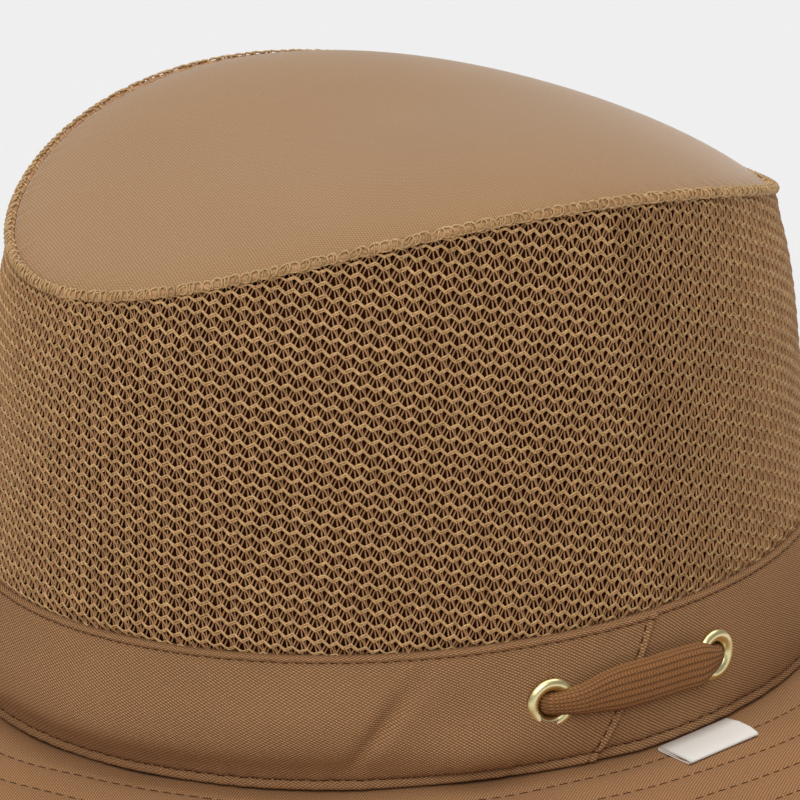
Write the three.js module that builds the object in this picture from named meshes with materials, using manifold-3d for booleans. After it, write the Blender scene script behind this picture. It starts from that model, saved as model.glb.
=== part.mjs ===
// Wide-brim hat with an open-knit crown, a cloth tip, a stitched band with eyelets, and a chin cord.
// Millimetres, +Z up. The hat stands on its brim's edge at z = 0, and its front points along -Y.
// The wearer's left side is +X. A turn is an angle round the crown: 0 at +X, 90 at the back, -90 at the front.
import * as THREE from "three";
import { mergeVertices } from "three/addons/utils/BufferGeometryUtils.js";
import Module from "manifold-3d";

const wasm = await Module();
wasm.setup();

// Clearance between neighbouring pieces
const GAP = 0.3;

// Brim: the height of its join with the band, its reach in plan, its slope at the join, and its flat foot
const BRIM_JOIN_HEIGHT = 16;
const BRIM_REACH_FRONT = 70;
const BRIM_REACH_SIDE = 65;
const BRIM_SLOPE = 0.05;
const BRIM_THICKNESS = 2;
const BRIM_FOOT = 2.4;

// Band: half axes of its bottom edge, its height, how far its top edge draws in, and how far it puffs out
const BAND_HALF_LENGTH = 104;
const BAND_HALF_WIDTH = 91.4;
const BAND_HEIGHT = 30.5;
const BAND_DRAW_IN = 3.1;
const BAND_THICKNESS = 2.2;
const BAND_PUFF = 2;

// Overlap of the band's ends: the step of its fold, where the fold is, how far it slants, and its fading length
const LAP_STEP = 0.8;
const LAP_TURN = -1.4;
const LAP_SLANT = 11;
const LAP_FADE = 29;

// Tip seam: the oval loop where the side wall meets the tip, saddle shaped and wider at the back
const SEAM_HALF_LENGTH = 93.1;
const SEAM_HALF_WIDTH = 67.4;
const SEAM_HEIGHT = 109.1;
const SEAM_SADDLE = 10.6;
const SEAM_TILT = -0.052;
const SEAM_EGG = 0.067;
const BEAD_RADIUS = 1.15;
const BEAD_OFFSET = 0.6;

// Knitted side wall, which swells most a little below the seam and is tucked behind the band
const KNIT_THICKNESS = 1.5;
const KNIT_SWELL = 1.8;
const KNIT_SWELL_LEVEL = 0.7;
const KNIT_TUCK = 6;

// Cloth tip: its dome's rise, how square the dome is, how much fuller it is at the back, and its edge puff
const TIP_THICKNESS = 1.2;
const TIP_DOME = 14.6;
const TIP_POWER = 2.7;
const TIP_BACK_FULLNESS = 0.0038;
const TIP_PUFF = 1;
const TIP_PUFF_POWER = 14;
const TIP_LIFT = 0.4;

// Eyelets
const EYELET_SPACING = 45.5;
const EYELET_LEVEL = 0.53;
const EYELET_HOLE_RADIUS = 3.2;
const EYELET_WALL = 0.4;
const EYELET_FLANGE_WIDTH = 2.4;
const EYELET_BACK_LIP = 1.3;
const EYELET_BACK_ROLL = 0.7;
const EYELET_RISE = 1.4;
const EYELET_PRESS = 0.3;

// Flat braided chin cord
const CORD_WIDTH = 9;
const CORD_THICKNESS = 3.8;

// Side label, folded once and sewn in at the band's bottom edge
const LABEL_TURN = 7.6;
const LABEL_TWIST = 2.8;
const LABEL_WIDTH = 22.3;
const LABEL_DEPTH = 8.8;
const LABEL_THICKNESS = 0.9;
const LABEL_START = 2.8;
const LABEL_SEWN_HEIGHT = 0.6;
const LABEL_EDGE_HEIGHT = 0.5;

// Steps round the crown
const TURNS = 64;

const MERGE_DISTANCE = 1e-4;

const radians = THREE.MathUtils.degToRad;

const materials = {
  cloth: new THREE.MeshStandardMaterial({ color: 0x8c6748, roughness: 0.85, metalness: 0 }),
  tip_cloth: new THREE.MeshStandardMaterial({ color: 0xa07a58, roughness: 0.85, metalness: 0 }),
  knit: new THREE.MeshStandardMaterial({ color: 0x9c7a48, roughness: 0.8, metalness: 0 }),
  braid: new THREE.MeshStandardMaterial({ color: 0x744828, roughness: 0.85, metalness: 0 }),
  brass: new THREE.MeshStandardMaterial({ color: 0xc8b46e, roughness: 0.35, metalness: 1 }),
  label: new THREE.MeshStandardMaterial({ color: 0xe8e4da, roughness: 0.8, metalness: 0 }),
};

const hat = new THREE.Group();

function add(name, geometry, material) {
  const mesh = new THREE.Mesh(geometry, material);
  mesh.name = name;
  hat.add(mesh);
  return mesh;
}

// Soft hollows and swellings of the cloth: a place round the crown, a place up the piece as a share of its
// height, their spreads, and a depth, which is negative where the cloth swells
const BAND_DENTS = [
  { turn: -27, level: 0.42, turnSpread: 5, levelSpread: 0.22, depth: 1.1 },
  { turn: -40, level: 0.55, turnSpread: 9, levelSpread: 0.3, depth: -0.7 },
  { turn: -70, level: 0.3, turnSpread: 16, levelSpread: 0.25, depth: -0.8 },
  { turn: 35, level: 0.6, turnSpread: 8, levelSpread: 0.3, depth: 0.7 },
  { turn: 150, level: 0.5, turnSpread: 12, levelSpread: 0.3, depth: 0.8 },
];
const KNIT_DENTS = [
  { turn: -105, level: 0.6, turnSpread: 14, levelSpread: 0.3, depth: 1.2 },
  { turn: -35, level: 0.45, turnSpread: 20, levelSpread: 0.35, depth: -0.6 },
  { turn: 50, level: 0.4, turnSpread: 12, levelSpread: 0.3, depth: 0.8 },
  { turn: 170, level: 0.5, turnSpread: 22, levelSpread: 0.35, depth: 1.2 },
];

function turnBetween(a, b) {
  return THREE.MathUtils.euclideanModulo(a - b + 180, 360) - 180;
}

function dentDepth(dents, turn, level) {
  let depth = 0;
  for (const dent of dents) {
    const across = turnBetween(turn, dent.turn) / dent.turnSpread;
    const up = (level - dent.level) / dent.levelSpread;
    depth += dent.depth * Math.exp(-across * across - up * up);
  }
  return depth;
}

// The oval loop of the band's bottom edge, in plan
function bandLoop(turn) {
  const angle = radians(turn);
  return new THREE.Vector3(BAND_HALF_WIDTH * Math.cos(angle), BAND_HALF_LENGTH * Math.sin(angle), 0);
}

// The level outward direction of the band's loop
function outward(turn) {
  const angle = radians(turn);
  return new THREE.Vector3(Math.cos(angle) / BAND_HALF_WIDTH, Math.sin(angle) / BAND_HALF_LENGTH, 0).normalize();
}

function seamPoint(turn) {
  const angle = radians(turn);
  const x = SEAM_HALF_WIDTH * (1 + SEAM_EGG * Math.sin(angle)) * Math.cos(angle);
  const y = SEAM_HALF_LENGTH * Math.sin(angle);
  const z = BRIM_JOIN_HEIGHT + SEAM_HEIGHT + SEAM_TILT * y + SEAM_SADDLE * Math.cos(2 * angle);
  return new THREE.Vector3(x, y, z);
}

// The normal of a surface given by two parameters, found from small steps along each
function surfaceNormal(surface, turn, level) {
  const turnStep = 1;
  const levelStep = 0.01;
  const alongTurn = surface(turn + turnStep, level).sub(surface(turn - turnStep, level));
  const alongLevel = surface(turn, level + levelStep).sub(surface(turn, level - levelStep));
  return alongTurn.cross(alongLevel).normalize();
}

// A closed body from a grid of points. Columns always close on each other, and rows close on each other
// for a ring. A capped body ends in one point at each end instead.
function bodyFromGrid(columns, capped) {
  const positions = [];
  const indices = [];
  const rows = columns[0].length;
  for (const column of columns) {
    for (const point of column) {
      positions.push(point.x, point.y, point.z);
    }
  }
  const rowSteps = capped ? rows - 1 : rows;
  for (let column = 0; column < columns.length; column += 1) {
    const next = (column + 1) % columns.length;
    for (let row = 0; row < rowSteps; row += 1) {
      const above = (row + 1) % rows;
      const a = column * rows + row;
      const b = next * rows + row;
      const c = next * rows + above;
      const d = column * rows + above;
      const startsAtPole = capped && row === 0;
      const endsAtPole = capped && row === rowSteps - 1;
      if (!startsAtPole) indices.push(a, b, d);
      if (!endsAtPole) indices.push(b, c, d);
    }
  }
  const geometry = new THREE.BufferGeometry();
  geometry.setAttribute("position", new THREE.Float32BufferAttribute(positions, 3));
  geometry.setIndex(indices);
  return mergeVertices(geometry, MERGE_DISTANCE);
}

const turnList = Array.from({ length: TURNS }, (_, index) => (index * 360) / TURNS);

function solid(geometry) {
  const bare = geometry.clone();
  bare.deleteAttribute("normal");
  bare.deleteAttribute("uv");
  const merged = mergeVertices(bare, MERGE_DISTANCE);
  return new wasm.Manifold(new wasm.Mesh({
    numProp: 3,
    vertProperties: new Float32Array(merged.attributes.position.array),
    triVerts: new Uint32Array(merged.index.array),
  }));
}

function geometryOf(manifold) {
  const mesh = manifold.getMesh();
  const geometry = new THREE.BufferGeometry();
  geometry.setAttribute("position", new THREE.Float32BufferAttribute(mesh.vertProperties, 3));
  geometry.setIndex(Array.from(mesh.triVerts));
  return geometry;
}

// Brim: a doubled cloth ring that slopes gently at the crown and more steeply towards its edge
function brimReach(turn) {
  const lengthwise = Math.sin(radians(turn)) ** 2;
  return THREE.MathUtils.lerp(BRIM_REACH_SIDE, BRIM_REACH_FRONT, lengthwise);
}

function brimTop(turn, share) {
  const reach = brimReach(turn);
  const drop = BRIM_JOIN_HEIGHT - BRIM_THICKNESS;
  const steepening = (drop - BRIM_SLOPE * reach) / (reach * reach);
  const distance = share * reach;
  const point = bandLoop(turn).addScaledVector(outward(turn), distance);
  const beyondBand = Math.max(distance, 0);
  point.z = BRIM_JOIN_HEIGHT - BRIM_SLOPE * beyondBand - steepening * beyondBand * beyondBand;
  return point;
}

// Rows of the brim's upper and under faces, from the crown to the edge, as shares of the reach
const BRIM_TOP_ROWS = [0.22, 0.44, 0.64, 0.82, 0.97];
const BRIM_UNDER_ROWS = [0.3, 0.56, 0.8];
const BRIM_EDGE_SHARE = 0.72;

function brimSection(turn) {
  const reach = brimReach(turn);
  const innerShare = -BAND_THICKNESS / reach;
  const top = [innerShare].concat(BRIM_TOP_ROWS).map((share) => brimTop(turn, share));
  const edgeTop = brimTop(turn, 1).setZ(BRIM_THICKNESS * BRIM_EDGE_SHARE);
  const edgeFoot = brimTop(turn, 1).setZ(0);
  const footInner = brimTop(turn, 1 - BRIM_FOOT / reach).setZ(0);
  const under = [innerShare].concat(BRIM_UNDER_ROWS).map((share) => {
    const point = brimTop(turn, share);
    return point.setZ(point.z - BRIM_THICKNESS);
  });
  return under.concat([footInner, edgeFoot, edgeTop], top.reverse());
}

add("brim", bodyFromGrid(turnList.map(brimSection), false), materials.cloth);

// Band: rows of its outer face, each with its height, its puff and its overlap step as shares of the named sizes
const BAND_ROWS = [
  { level: 0.0, puff: 0.0, step: 0.5 },
  { level: 0.04, puff: 0.25, step: 1 },
  { level: 0.1, puff: 0.0, step: 1 },
  { level: 0.2, puff: 0.7, step: 1 },
  { level: 0.38, puff: 1.0, step: 1 },
  { level: 0.6, puff: 0.85, step: 1 },
  { level: 0.82, puff: 0.4, step: 1 },
  { level: 0.94, puff: 0.0, step: 1 },
  { level: 0.98, puff: 0.1, step: 1 },
  { level: 1.0, puff: -0.2, step: 0.5 },
];
const BAND_INNER_LEVELS = [0, 0.5, 1];
const BAND_BOTTOM = BRIM_JOIN_HEIGHT + GAP;
const BAND_TOP = BRIM_JOIN_HEIGHT + BAND_HEIGHT;

function bandPoint(turn, level, offset) {
  const point = bandLoop(turn).addScaledVector(outward(turn), offset - BAND_DRAW_IN * level);
  return point.setZ(THREE.MathUtils.lerp(BAND_BOTTOM, BAND_TOP, level));
}

// The overlap: the front end of the strip lies over the back end, and ends in a slanted fold
function foldTurn(level) {
  return LAP_TURN + LAP_SLANT * (level - 0.5);
}

function lapOffset(turnPastFold) {
  if (turnPastFold > 0) return 0;
  return LAP_STEP * Math.exp(-((turnPastFold / LAP_FADE) ** 2));
}

function bandOuter(row, turn, turnPastFold) {
  const dent = dentDepth(BAND_DENTS, turn, row.level) * Math.max(row.puff, 0);
  return bandPoint(turn, row.level, row.puff * BAND_PUFF - dent + lapOffset(turnPastFold) * row.step);
}

// The band's columns lean with the fold near the overlap, and two columns stand close together at the fold
const FOLD_WIDTH = 0.25;
const LEAN_SPREAD = 24;

function bandColumn(turnPastFold) {
  const lean = Math.exp(-((turnPastFold / LEAN_SPREAD) ** 2));
  const turnAt = (level) => LAP_TURN + turnPastFold + lean * (foldTurn(level) - LAP_TURN);
  const outer = BAND_ROWS.map((row) => bandOuter(row, turnAt(row.level), turnPastFold));
  const inner = BAND_INNER_LEVELS.map((level) => bandPoint(turnAt(level), level, -BAND_THICKNESS));
  return outer.concat(inner.reverse());
}

const halfStep = 180 / TURNS;
const bandTurns = turnList.map((turn) => turn - 180 + halfStep).concat([0, FOLD_WIDTH]).sort((a, b) => a - b);
const bandBody = solid(bodyFromGrid(bandTurns.map(bandColumn), false));

// Eyelets: each has a place on the band's outer face and an axis that points straight out of it
const EYELET_TURN = THREE.MathUtils.radToDeg(Math.asin(EYELET_SPACING / 2 / BAND_HALF_LENGTH));
const BARREL_RADIUS = EYELET_HOLE_RADIUS + EYELET_WALL;
const FLANGE_RADIUS = BARREL_RADIUS + EYELET_FLANGE_WIDTH;
const BACK_RADIUS = BARREL_RADIUS + EYELET_BACK_LIP;
const frontLeft = { name: "eyelet_front_left", turn: -EYELET_TURN };
const backLeft = { name: "eyelet_back_left", turn: EYELET_TURN };
const backRight = { name: "eyelet_back_right", turn: 180 - EYELET_TURN };
const frontRight = { name: "eyelet_front_right", turn: 180 + EYELET_TURN };

function puffAt(level) {
  const upper = BAND_ROWS.findIndex((row) => row.level >= level);
  const a = BAND_ROWS[upper - 1];
  const b = BAND_ROWS[upper];
  return THREE.MathUtils.mapLinear(level, a.level, b.level, a.puff, b.puff);
}

function eyeletSeat(turn) {
  const turnPastFold = turnBetween(turn, foldTurn(EYELET_LEVEL));
  const offset = puffAt(EYELET_LEVEL) * BAND_PUFF + lapOffset(turnPastFold) - EYELET_PRESS;
  return bandPoint(turn, EYELET_LEVEL, offset);
}

// From the flange's back to the inner lip, which lies one clearance past the band's inner face
function eyeletDepth(turn) {
  return eyeletSeat(turn).distanceTo(bandPoint(turn, EYELET_LEVEL, -BAND_THICKNESS)) + GAP;
}

// A thing made along +Y is turned so that +Y points out of the band
function placeOnBand(thing, turn) {
  thing.position.copy(eyeletSeat(turn));
  thing.quaternion.setFromUnitVectors(new THREE.Vector3(0, 1, 0), outward(turn));
}

// Rows of the flange's dome: a radius as a share of the flange's width, and a height as a share of its rise
const FLANGE_DOME = [
  { radius: 1.0, height: 0.0 },
  { radius: 0.96, height: 0.45 },
  { radius: 0.7, height: 0.95 },
  { radius: 0.38, height: 1.0 },
  { radius: 0.0, height: 0.75 },
];
const THROAT_HEIGHT = 0.25;
const EYELET_SIDES = 16;

function eyeletGeometry(depth) {
  const back = -depth - EYELET_BACK_ROLL;
  const dome = FLANGE_DOME.map((row) => {
    return new THREE.Vector2(BARREL_RADIUS + EYELET_FLANGE_WIDTH * row.radius, EYELET_RISE * row.height);
  });
  const profile = [
    new THREE.Vector2(EYELET_HOLE_RADIUS, back),
    new THREE.Vector2(BACK_RADIUS, back),
    new THREE.Vector2(BACK_RADIUS, -depth),
    new THREE.Vector2(BARREL_RADIUS, -depth),
    new THREE.Vector2(BARREL_RADIUS, 0),
    ...dome,
    new THREE.Vector2(EYELET_HOLE_RADIUS, EYELET_RISE * THROAT_HEIGHT),
    new THREE.Vector2(EYELET_HOLE_RADIUS, back),
  ];
  return new THREE.LatheGeometry(profile, EYELET_SIDES);
}

function bandCutter(turn, radius, from, to) {
  const cylinder = new THREE.CylinderGeometry(radius, radius, to - from, EYELET_SIDES);
  cylinder.translate(0, (from + to) / 2, 0);
  const holder = new THREE.Object3D();
  placeOnBand(holder, turn);
  holder.updateMatrix();
  cylinder.applyMatrix4(holder.matrix);
  return solid(cylinder);
}

const CUT_REACH = BAND_THICKNESS + BAND_PUFF + LAP_STEP + EYELET_BACK_ROLL;
let pierced = bandBody;
for (const { name, turn } of [frontLeft, backLeft, backRight, frontRight]) {
  const depth = eyeletDepth(turn);
  pierced = pierced.subtract(bandCutter(turn, BARREL_RADIUS + GAP, -2 * CUT_REACH, CUT_REACH));
  pierced = pierced.subtract(bandCutter(turn, FLANGE_RADIUS + GAP, -GAP, CUT_REACH));
  pierced = pierced.subtract(bandCutter(turn, BACK_RADIUS + GAP, -2 * CUT_REACH, GAP - depth));
  placeOnBand(add(name, eyeletGeometry(depth), materials.brass), turn);
}
add("hat_band", geometryOf(pierced), materials.cloth);

// Knitted side wall: level 0 is at the band's top edge, level 1 under the seam, and lower levels are tucked
// straight down behind the band
const KNIT_RISE = SEAM_HEIGHT - BAND_HEIGHT;
const KNIT_ROWS = [-KNIT_TUCK / KNIT_RISE, 0, 0.05, 0.22, 0.45, 0.65, 0.82, 0.93, 1];
const KNIT_INNER_ROWS = [-KNIT_TUCK / KNIT_RISE, 0, 0.08, 0.4, 0.75, 1];
const KNIT_CLEAR_LEVEL = 0.05;
const KNIT_SWELL_POWER = 2.2;

// A hump that is 0 at levels 0 and 1, and 1 at the level where the wall swells most
function swellShare(level) {
  const fallPower = (KNIT_SWELL_POWER * (1 - KNIT_SWELL_LEVEL)) / KNIT_SWELL_LEVEL;
  const hump = (place) => place ** KNIT_SWELL_POWER * (1 - place) ** fallPower;
  return hump(THREE.MathUtils.clamp(level, 0, 1)) / hump(KNIT_SWELL_LEVEL);
}

function knitSurface(turn, level) {
  const up = Math.max(level, 0);
  const foot = bandLoop(turn).addScaledVector(outward(turn), -BAND_DRAW_IN).setZ(BAND_TOP);
  const top = seamPoint(turn).addScaledVector(outward(turn), BEAD_OFFSET);
  top.z -= BEAD_RADIUS + GAP;
  const point = foot.lerp(top, up);
  point.z += (level - up) * KNIT_RISE;
  const tuckedIn = 1 - THREE.MathUtils.smoothstep(level, 0, KNIT_CLEAR_LEVEL);
  const dent = dentDepth(KNIT_DENTS, turn, level) * 4 * up * (1 - up);
  const offset = KNIT_SWELL * swellShare(level) - dent - (BAND_THICKNESS + GAP * 2) * tuckedIn;
  return point.addScaledVector(outward(turn), offset);
}

function knitColumn(turn) {
  const outer = KNIT_ROWS.map((level) => knitSurface(turn, level));
  const inner = KNIT_INNER_ROWS.map((level) => {
    return knitSurface(turn, level).addScaledVector(surfaceNormal(knitSurface, turn, level), -KNIT_THICKNESS);
  });
  return outer.concat(inner.reverse());
}

add("crown_mesh", bodyFromGrid(turnList.map(knitColumn), false), materials.knit);

// The rolled edge of the knit, a bead that follows the seam
const BEAD_SIDES = 6;

function beadSection(turn) {
  const centre = seamPoint(turn).addScaledVector(outward(turn), BEAD_OFFSET);
  return Array.from({ length: BEAD_SIDES }, (_, index) => {
    const angle = (index * 2 * Math.PI) / BEAD_SIDES;
    const point = centre.clone().addScaledVector(outward(turn), BEAD_RADIUS * Math.cos(angle));
    return point.setZ(point.z + BEAD_RADIUS * Math.sin(angle));
  });
}

add("tip_seam", bodyFromGrid(turnList.map(beadSection), false), materials.knit);

// Cloth tip: a dome over the seam's loop, from share 0 at its middle to share 1 at its edge
const TIP_ROWS = [0, 0.25, 0.47, 0.66, 0.81, 0.92, 1];
const TIP_INNER_ROWS = [0, 0.4, 0.7, 0.88, 1];
const TIP_EDGE_INSET = BEAD_RADIUS + GAP - BEAD_OFFSET;
const TIP_LAST_NORMAL = 0.98;

function tipSurface(turn, share) {
  const point = seamPoint(turn).addScaledVector(outward(turn), -TIP_EDGE_INSET).multiplyScalar(share);
  const saddle = SEAM_SADDLE * Math.cos(2 * radians(turn)) * share * share;
  const dome = TIP_DOME * (1 - share ** TIP_POWER) * (1 + TIP_BACK_FULLNESS * point.y);
  const puff = TIP_PUFF * (1 - share ** TIP_PUFF_POWER);
  const edgeHeight = BRIM_JOIN_HEIGHT + SEAM_HEIGHT + TIP_LIFT + SEAM_TILT * point.y;
  return point.setZ(edgeHeight + saddle + dome + puff);
}

function tipInner(turn, share) {
  const outer = tipSurface(turn, share);
  if (share === 0) return outer.setZ(outer.z - TIP_THICKNESS);
  const normal = surfaceNormal(tipSurface, turn, Math.min(share, TIP_LAST_NORMAL));
  return outer.addScaledVector(normal, TIP_THICKNESS);
}

const tipColumns = turnList.map((turn) => {
  const outer = TIP_ROWS.map((share) => tipSurface(turn, share));
  const inner = TIP_INNER_ROWS.map((share) => tipInner(turn, share));
  return inner.concat(outer.reverse());
});
add("crown_tip", bodyFromGrid(tipColumns, true), materials.tip_cloth);

// Chin cord, bridging stretches: out of one eyelet, over the band and into the next
const BRIDGE_SHARES = [0.26, 0.5, 0.74];
const BRIDGE_LIFT = EYELET_RISE + CORD_THICKNESS / 2 + GAP;
const STRAIGHT_OUT = 2.8;

function straightThrough(eyelet) {
  const inside = eyeletDepth(eyelet.turn) + EYELET_BACK_ROLL + GAP;
  return [-inside, -inside / 2, 0, EYELET_RISE, EYELET_RISE * STRAIGHT_OUT].map((out) => {
    return eyeletSeat(eyelet.turn).addScaledVector(outward(eyelet.turn), out);
  });
}

function bridgePath(first, second) {
  const startSeat = eyeletSeat(first.turn);
  const endSeat = eyeletSeat(second.turn);
  const middleTurn = (first.turn + second.turn) / 2;
  const middleOut = outward(middleTurn);
  const chordMiddle = startSeat.clone().lerp(endSeat, 0.5);
  const bandRise = eyeletSeat(middleTurn).sub(chordMiddle).dot(middleOut);
  const between = BRIDGE_SHARES.map((share) => {
    const bow = 4 * share * (1 - share);
    return startSeat.clone().lerp(endSeat, share).addScaledVector(middleOut, bandRise * bow + BRIDGE_LIFT);
  });
  const points = straightThrough(first).concat(between, straightThrough(second).reverse());
  return new THREE.CatmullRomCurve3(points, false, "centripetal");
}

const BRIDGE_STEPS = 24;
const BRIDGE_SIDES = 10;
const CORD_IN_HOLE = EYELET_HOLE_RADIUS - GAP * 2;
const SPREAD_FROM = 0.17;
const SPREAD_TO = 0.34;

// The braid is squeezed round where it passes an eyelet and lies flat between them
function bridgeGeometry(first, second) {
  const path = bridgePath(first, second);
  const up = new THREE.Vector3(0, 0, 1);
  const sections = Array.from({ length: BRIDGE_STEPS + 1 }, (_, step) => {
    const share = step / BRIDGE_STEPS;
    const fromEnd = Math.min(share, 1 - share);
    const spread = THREE.MathUtils.smoothstep(fromEnd, SPREAD_FROM, SPREAD_TO);
    const halfWidth = THREE.MathUtils.lerp(CORD_IN_HOLE, CORD_WIDTH / 2, spread);
    const halfThickness = THREE.MathUtils.lerp(CORD_IN_HOLE, CORD_THICKNESS / 2, spread);
    const centre = path.getPointAt(share);
    const side = up.clone().cross(path.getTangentAt(share)).normalize();
    return Array.from({ length: BRIDGE_SIDES }, (_, index) => {
      const angle = (index * 2 * Math.PI) / BRIDGE_SIDES;
      const point = centre.clone().addScaledVector(up, halfWidth * Math.sin(angle));
      return point.addScaledVector(side, halfThickness * Math.cos(angle));
    });
  });
  const columns = sections[0].map((_, index) => {
    return [path.getPointAt(0)].concat(sections.map((section) => section[index]), [path.getPointAt(1)]);
  });
  return bodyFromGrid(columns, true);
}

add("cord_bridge_left", bridgeGeometry(frontLeft, backLeft), materials.braid);
add("cord_bridge_right", bridgeGeometry(backRight, frontRight), materials.braid);

// Chin cord, inside stretches: each leaves an eyelet, comes down to the floor, and lies there in a loose loop.
// The points between the eyelets were chosen by hand.
const FRONT_ROUTE = [
  [76.8, -20.1, 30.9],
  [70.0, -19.0, 25.5],
  [66.1, -18.3, 17.6],
  [62.2, -17.8, 9.7],
  [55.6, -17.2, 4.2],
  [47.5, -17.6, 2.3],
  [35.0, -22.8, 2.2],
  [29.4, -36.0, 2.2],
  [33.0, -49.0, 2.2],
  [43.0, -57.0, 2.2],
  [53.5, -64.0, 2.2],
  [56.0, -75.5, 2.2],
  [47.0, -85.0, 2.2],
  [28.0, -90.0, 2.2],
  [0.0, -91.5, 2.2],
  [-27.0, -89.0, 2.2],
  [-46.0, -83.0, 2.2],
  [-54.5, -73.0, 2.2],
  [-51.0, -61.5, 2.2],
  [-40.5, -54.5, 2.2],
  [-31.0, -46.0, 2.2],
  [-28.5, -33.5, 2.2],
  [-35.5, -22.0, 2.2],
  [-47.5, -17.4, 2.3],
  [-55.6, -17.2, 4.2],
  [-62.2, -17.8, 9.7],
  [-66.1, -18.3, 17.6],
  [-70.0, -19.0, 25.5],
  [-76.8, -20.1, 30.9],
];
const BACK_ROUTE = [
  [76.8, 20.1, 30.9],
  [70.0, 19.0, 25.5],
  [66.1, 18.3, 17.6],
  [62.2, 17.8, 9.7],
  [55.6, 17.2, 4.2],
  [47.5, 17.6, 2.3],
  [35.0, 23.2, 2.2],
  [30.0, 36.0, 2.2],
  [29.5, 50.0, 2.2],
  [25.0, 63.5, 2.2],
  [14.0, 73.5, 2.2],
  [-1.0, 76.0, 2.2],
  [-15.5, 71.5, 2.2],
  [-25.5, 61.0, 2.2],
  [-28.5, 47.5, 2.2],
  [-29.5, 34.5, 2.2],
  [-35.5, 22.5, 2.2],
  [-47.5, 17.4, 2.3],
  [-55.6, 17.2, 4.2],
  [-62.2, 17.8, 9.7],
  [-66.1, 18.3, 17.6],
  [-70.0, 19.0, 25.5],
  [-76.8, 20.1, 30.9],
];
const FRONT_RUN_STEPS = 44;
const BACK_RUN_STEPS = 32;
const RUN_SIDES = 8;
const RUN_STRAIGHT = 2.5;

function runEnd(eyelet, past) {
  const inside = eyeletDepth(eyelet.turn) + EYELET_BACK_ROLL + GAP * 2 + past;
  return eyeletSeat(eyelet.turn).addScaledVector(outward(eyelet.turn), -inside);
}

function runGeometry(first, route, second, steps) {
  const start = [runEnd(first, 0), runEnd(first, RUN_STRAIGHT)];
  const end = [runEnd(second, RUN_STRAIGHT), runEnd(second, 0)];
  const points = start.concat(route.map((point) => new THREE.Vector3(...point)), end);
  const path = new THREE.CatmullRomCurve3(points, false, "centripetal");
  const corners = Array.from({ length: RUN_SIDES }, (_, index) => {
    const angle = ((index + 0.5) * 2 * Math.PI) / RUN_SIDES;
    return new THREE.Vector2((CORD_THICKNESS / 2) * Math.cos(angle), (CORD_WIDTH / 2) * Math.sin(angle));
  });
  return new THREE.ExtrudeGeometry(new THREE.Shape(corners), { steps, extrudePath: path });
}

add("cord_front_run", runGeometry(frontLeft, FRONT_ROUTE, frontRight, FRONT_RUN_STEPS), materials.braid);
add("cord_back_run", runGeometry(backLeft, BACK_ROUTE, backRight, BACK_RUN_STEPS), materials.braid);

// Side label: a flat fold of woven tape that lies over the brim, made along its width
function labelGeometry() {
  const inner = LABEL_START;
  const outer = LABEL_START + LABEL_DEPTH;
  const foldStart = outer - LABEL_THICKNESS;
  const low = LABEL_EDGE_HEIGHT;
  const high = LABEL_EDGE_HEIGHT + LABEL_THICKNESS;
  const shape = new THREE.Shape();
  shape.moveTo(inner, LABEL_SEWN_HEIGHT);
  shape.lineTo(foldStart, low);
  shape.quadraticCurveTo(outer, low, outer, (low + high) / 2);
  shape.quadraticCurveTo(outer, high, foldStart, high);
  shape.lineTo(inner, LABEL_SEWN_HEIGHT + LABEL_THICKNESS);
  shape.closePath();
  const geometry = new THREE.ExtrudeGeometry(shape, { depth: LABEL_WIDTH, bevelEnabled: false, curveSegments: 4 });
  return geometry.translate(0, 0, -LABEL_WIDTH / 2);
}

const LABEL_SLOPE_SHARE = 0.15;
const label = add("side_label", labelGeometry(), materials.label);
const labelOut = brimTop(LABEL_TURN, LABEL_SLOPE_SHARE).sub(brimTop(LABEL_TURN, 0)).normalize();
const labelAlong = labelOut.clone().cross(new THREE.Vector3(0, 0, 1)).normalize();
const labelUp = labelAlong.clone().cross(labelOut).normalize();
label.position.copy(brimTop(LABEL_TURN, 0));
label.quaternion.setFromRotationMatrix(new THREE.Matrix4().makeBasis(labelOut, labelUp, labelAlong));
label.rotateY(radians(LABEL_TWIST));

export default hat;
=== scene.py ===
import math

import bpy
import numpy as np
from mathutils import Matrix, Vector


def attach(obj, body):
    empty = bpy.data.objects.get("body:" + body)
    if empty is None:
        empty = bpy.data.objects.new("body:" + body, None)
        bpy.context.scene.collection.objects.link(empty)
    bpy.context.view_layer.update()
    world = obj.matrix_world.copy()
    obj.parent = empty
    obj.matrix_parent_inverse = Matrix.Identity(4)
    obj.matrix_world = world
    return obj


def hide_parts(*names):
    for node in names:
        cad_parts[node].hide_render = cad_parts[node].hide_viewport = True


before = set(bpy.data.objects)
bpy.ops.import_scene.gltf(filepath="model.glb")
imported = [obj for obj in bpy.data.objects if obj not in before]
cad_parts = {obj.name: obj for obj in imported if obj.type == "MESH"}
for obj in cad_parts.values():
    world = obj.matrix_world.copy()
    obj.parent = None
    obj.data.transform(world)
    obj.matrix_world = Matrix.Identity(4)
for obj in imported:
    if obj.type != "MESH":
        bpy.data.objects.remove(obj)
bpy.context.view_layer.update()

# Lengths are in millimetres, as a hat maker would note them, and MM turns them into metres.
# A turn is an angle round the crown in degrees: 0 at the wearer's left, 90 at the back, -90 at the front.
MM = 0.001
GAP = 0.3


def table(columns, rows):
    """Rows of numbers under named columns, as one dictionary to a row."""
    return [dict(zip(columns.split(), row)) for row in rows]


def column_of(rows, name):
    return np.array([row[name] for row in rows])


# The photograph's camera
CAMERA_TURN = 54.76
CAMERA_RISE = 20.09
CAMERA_ROLL = -0.82
CAMERA_DISTANCE = 1579.7
CAMERA_LENS = 307.3
SENSOR_WIDTH = 36.0
IMAGE_SIZE = 800
AIM_PIXEL = (398.5, 626.5)

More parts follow.
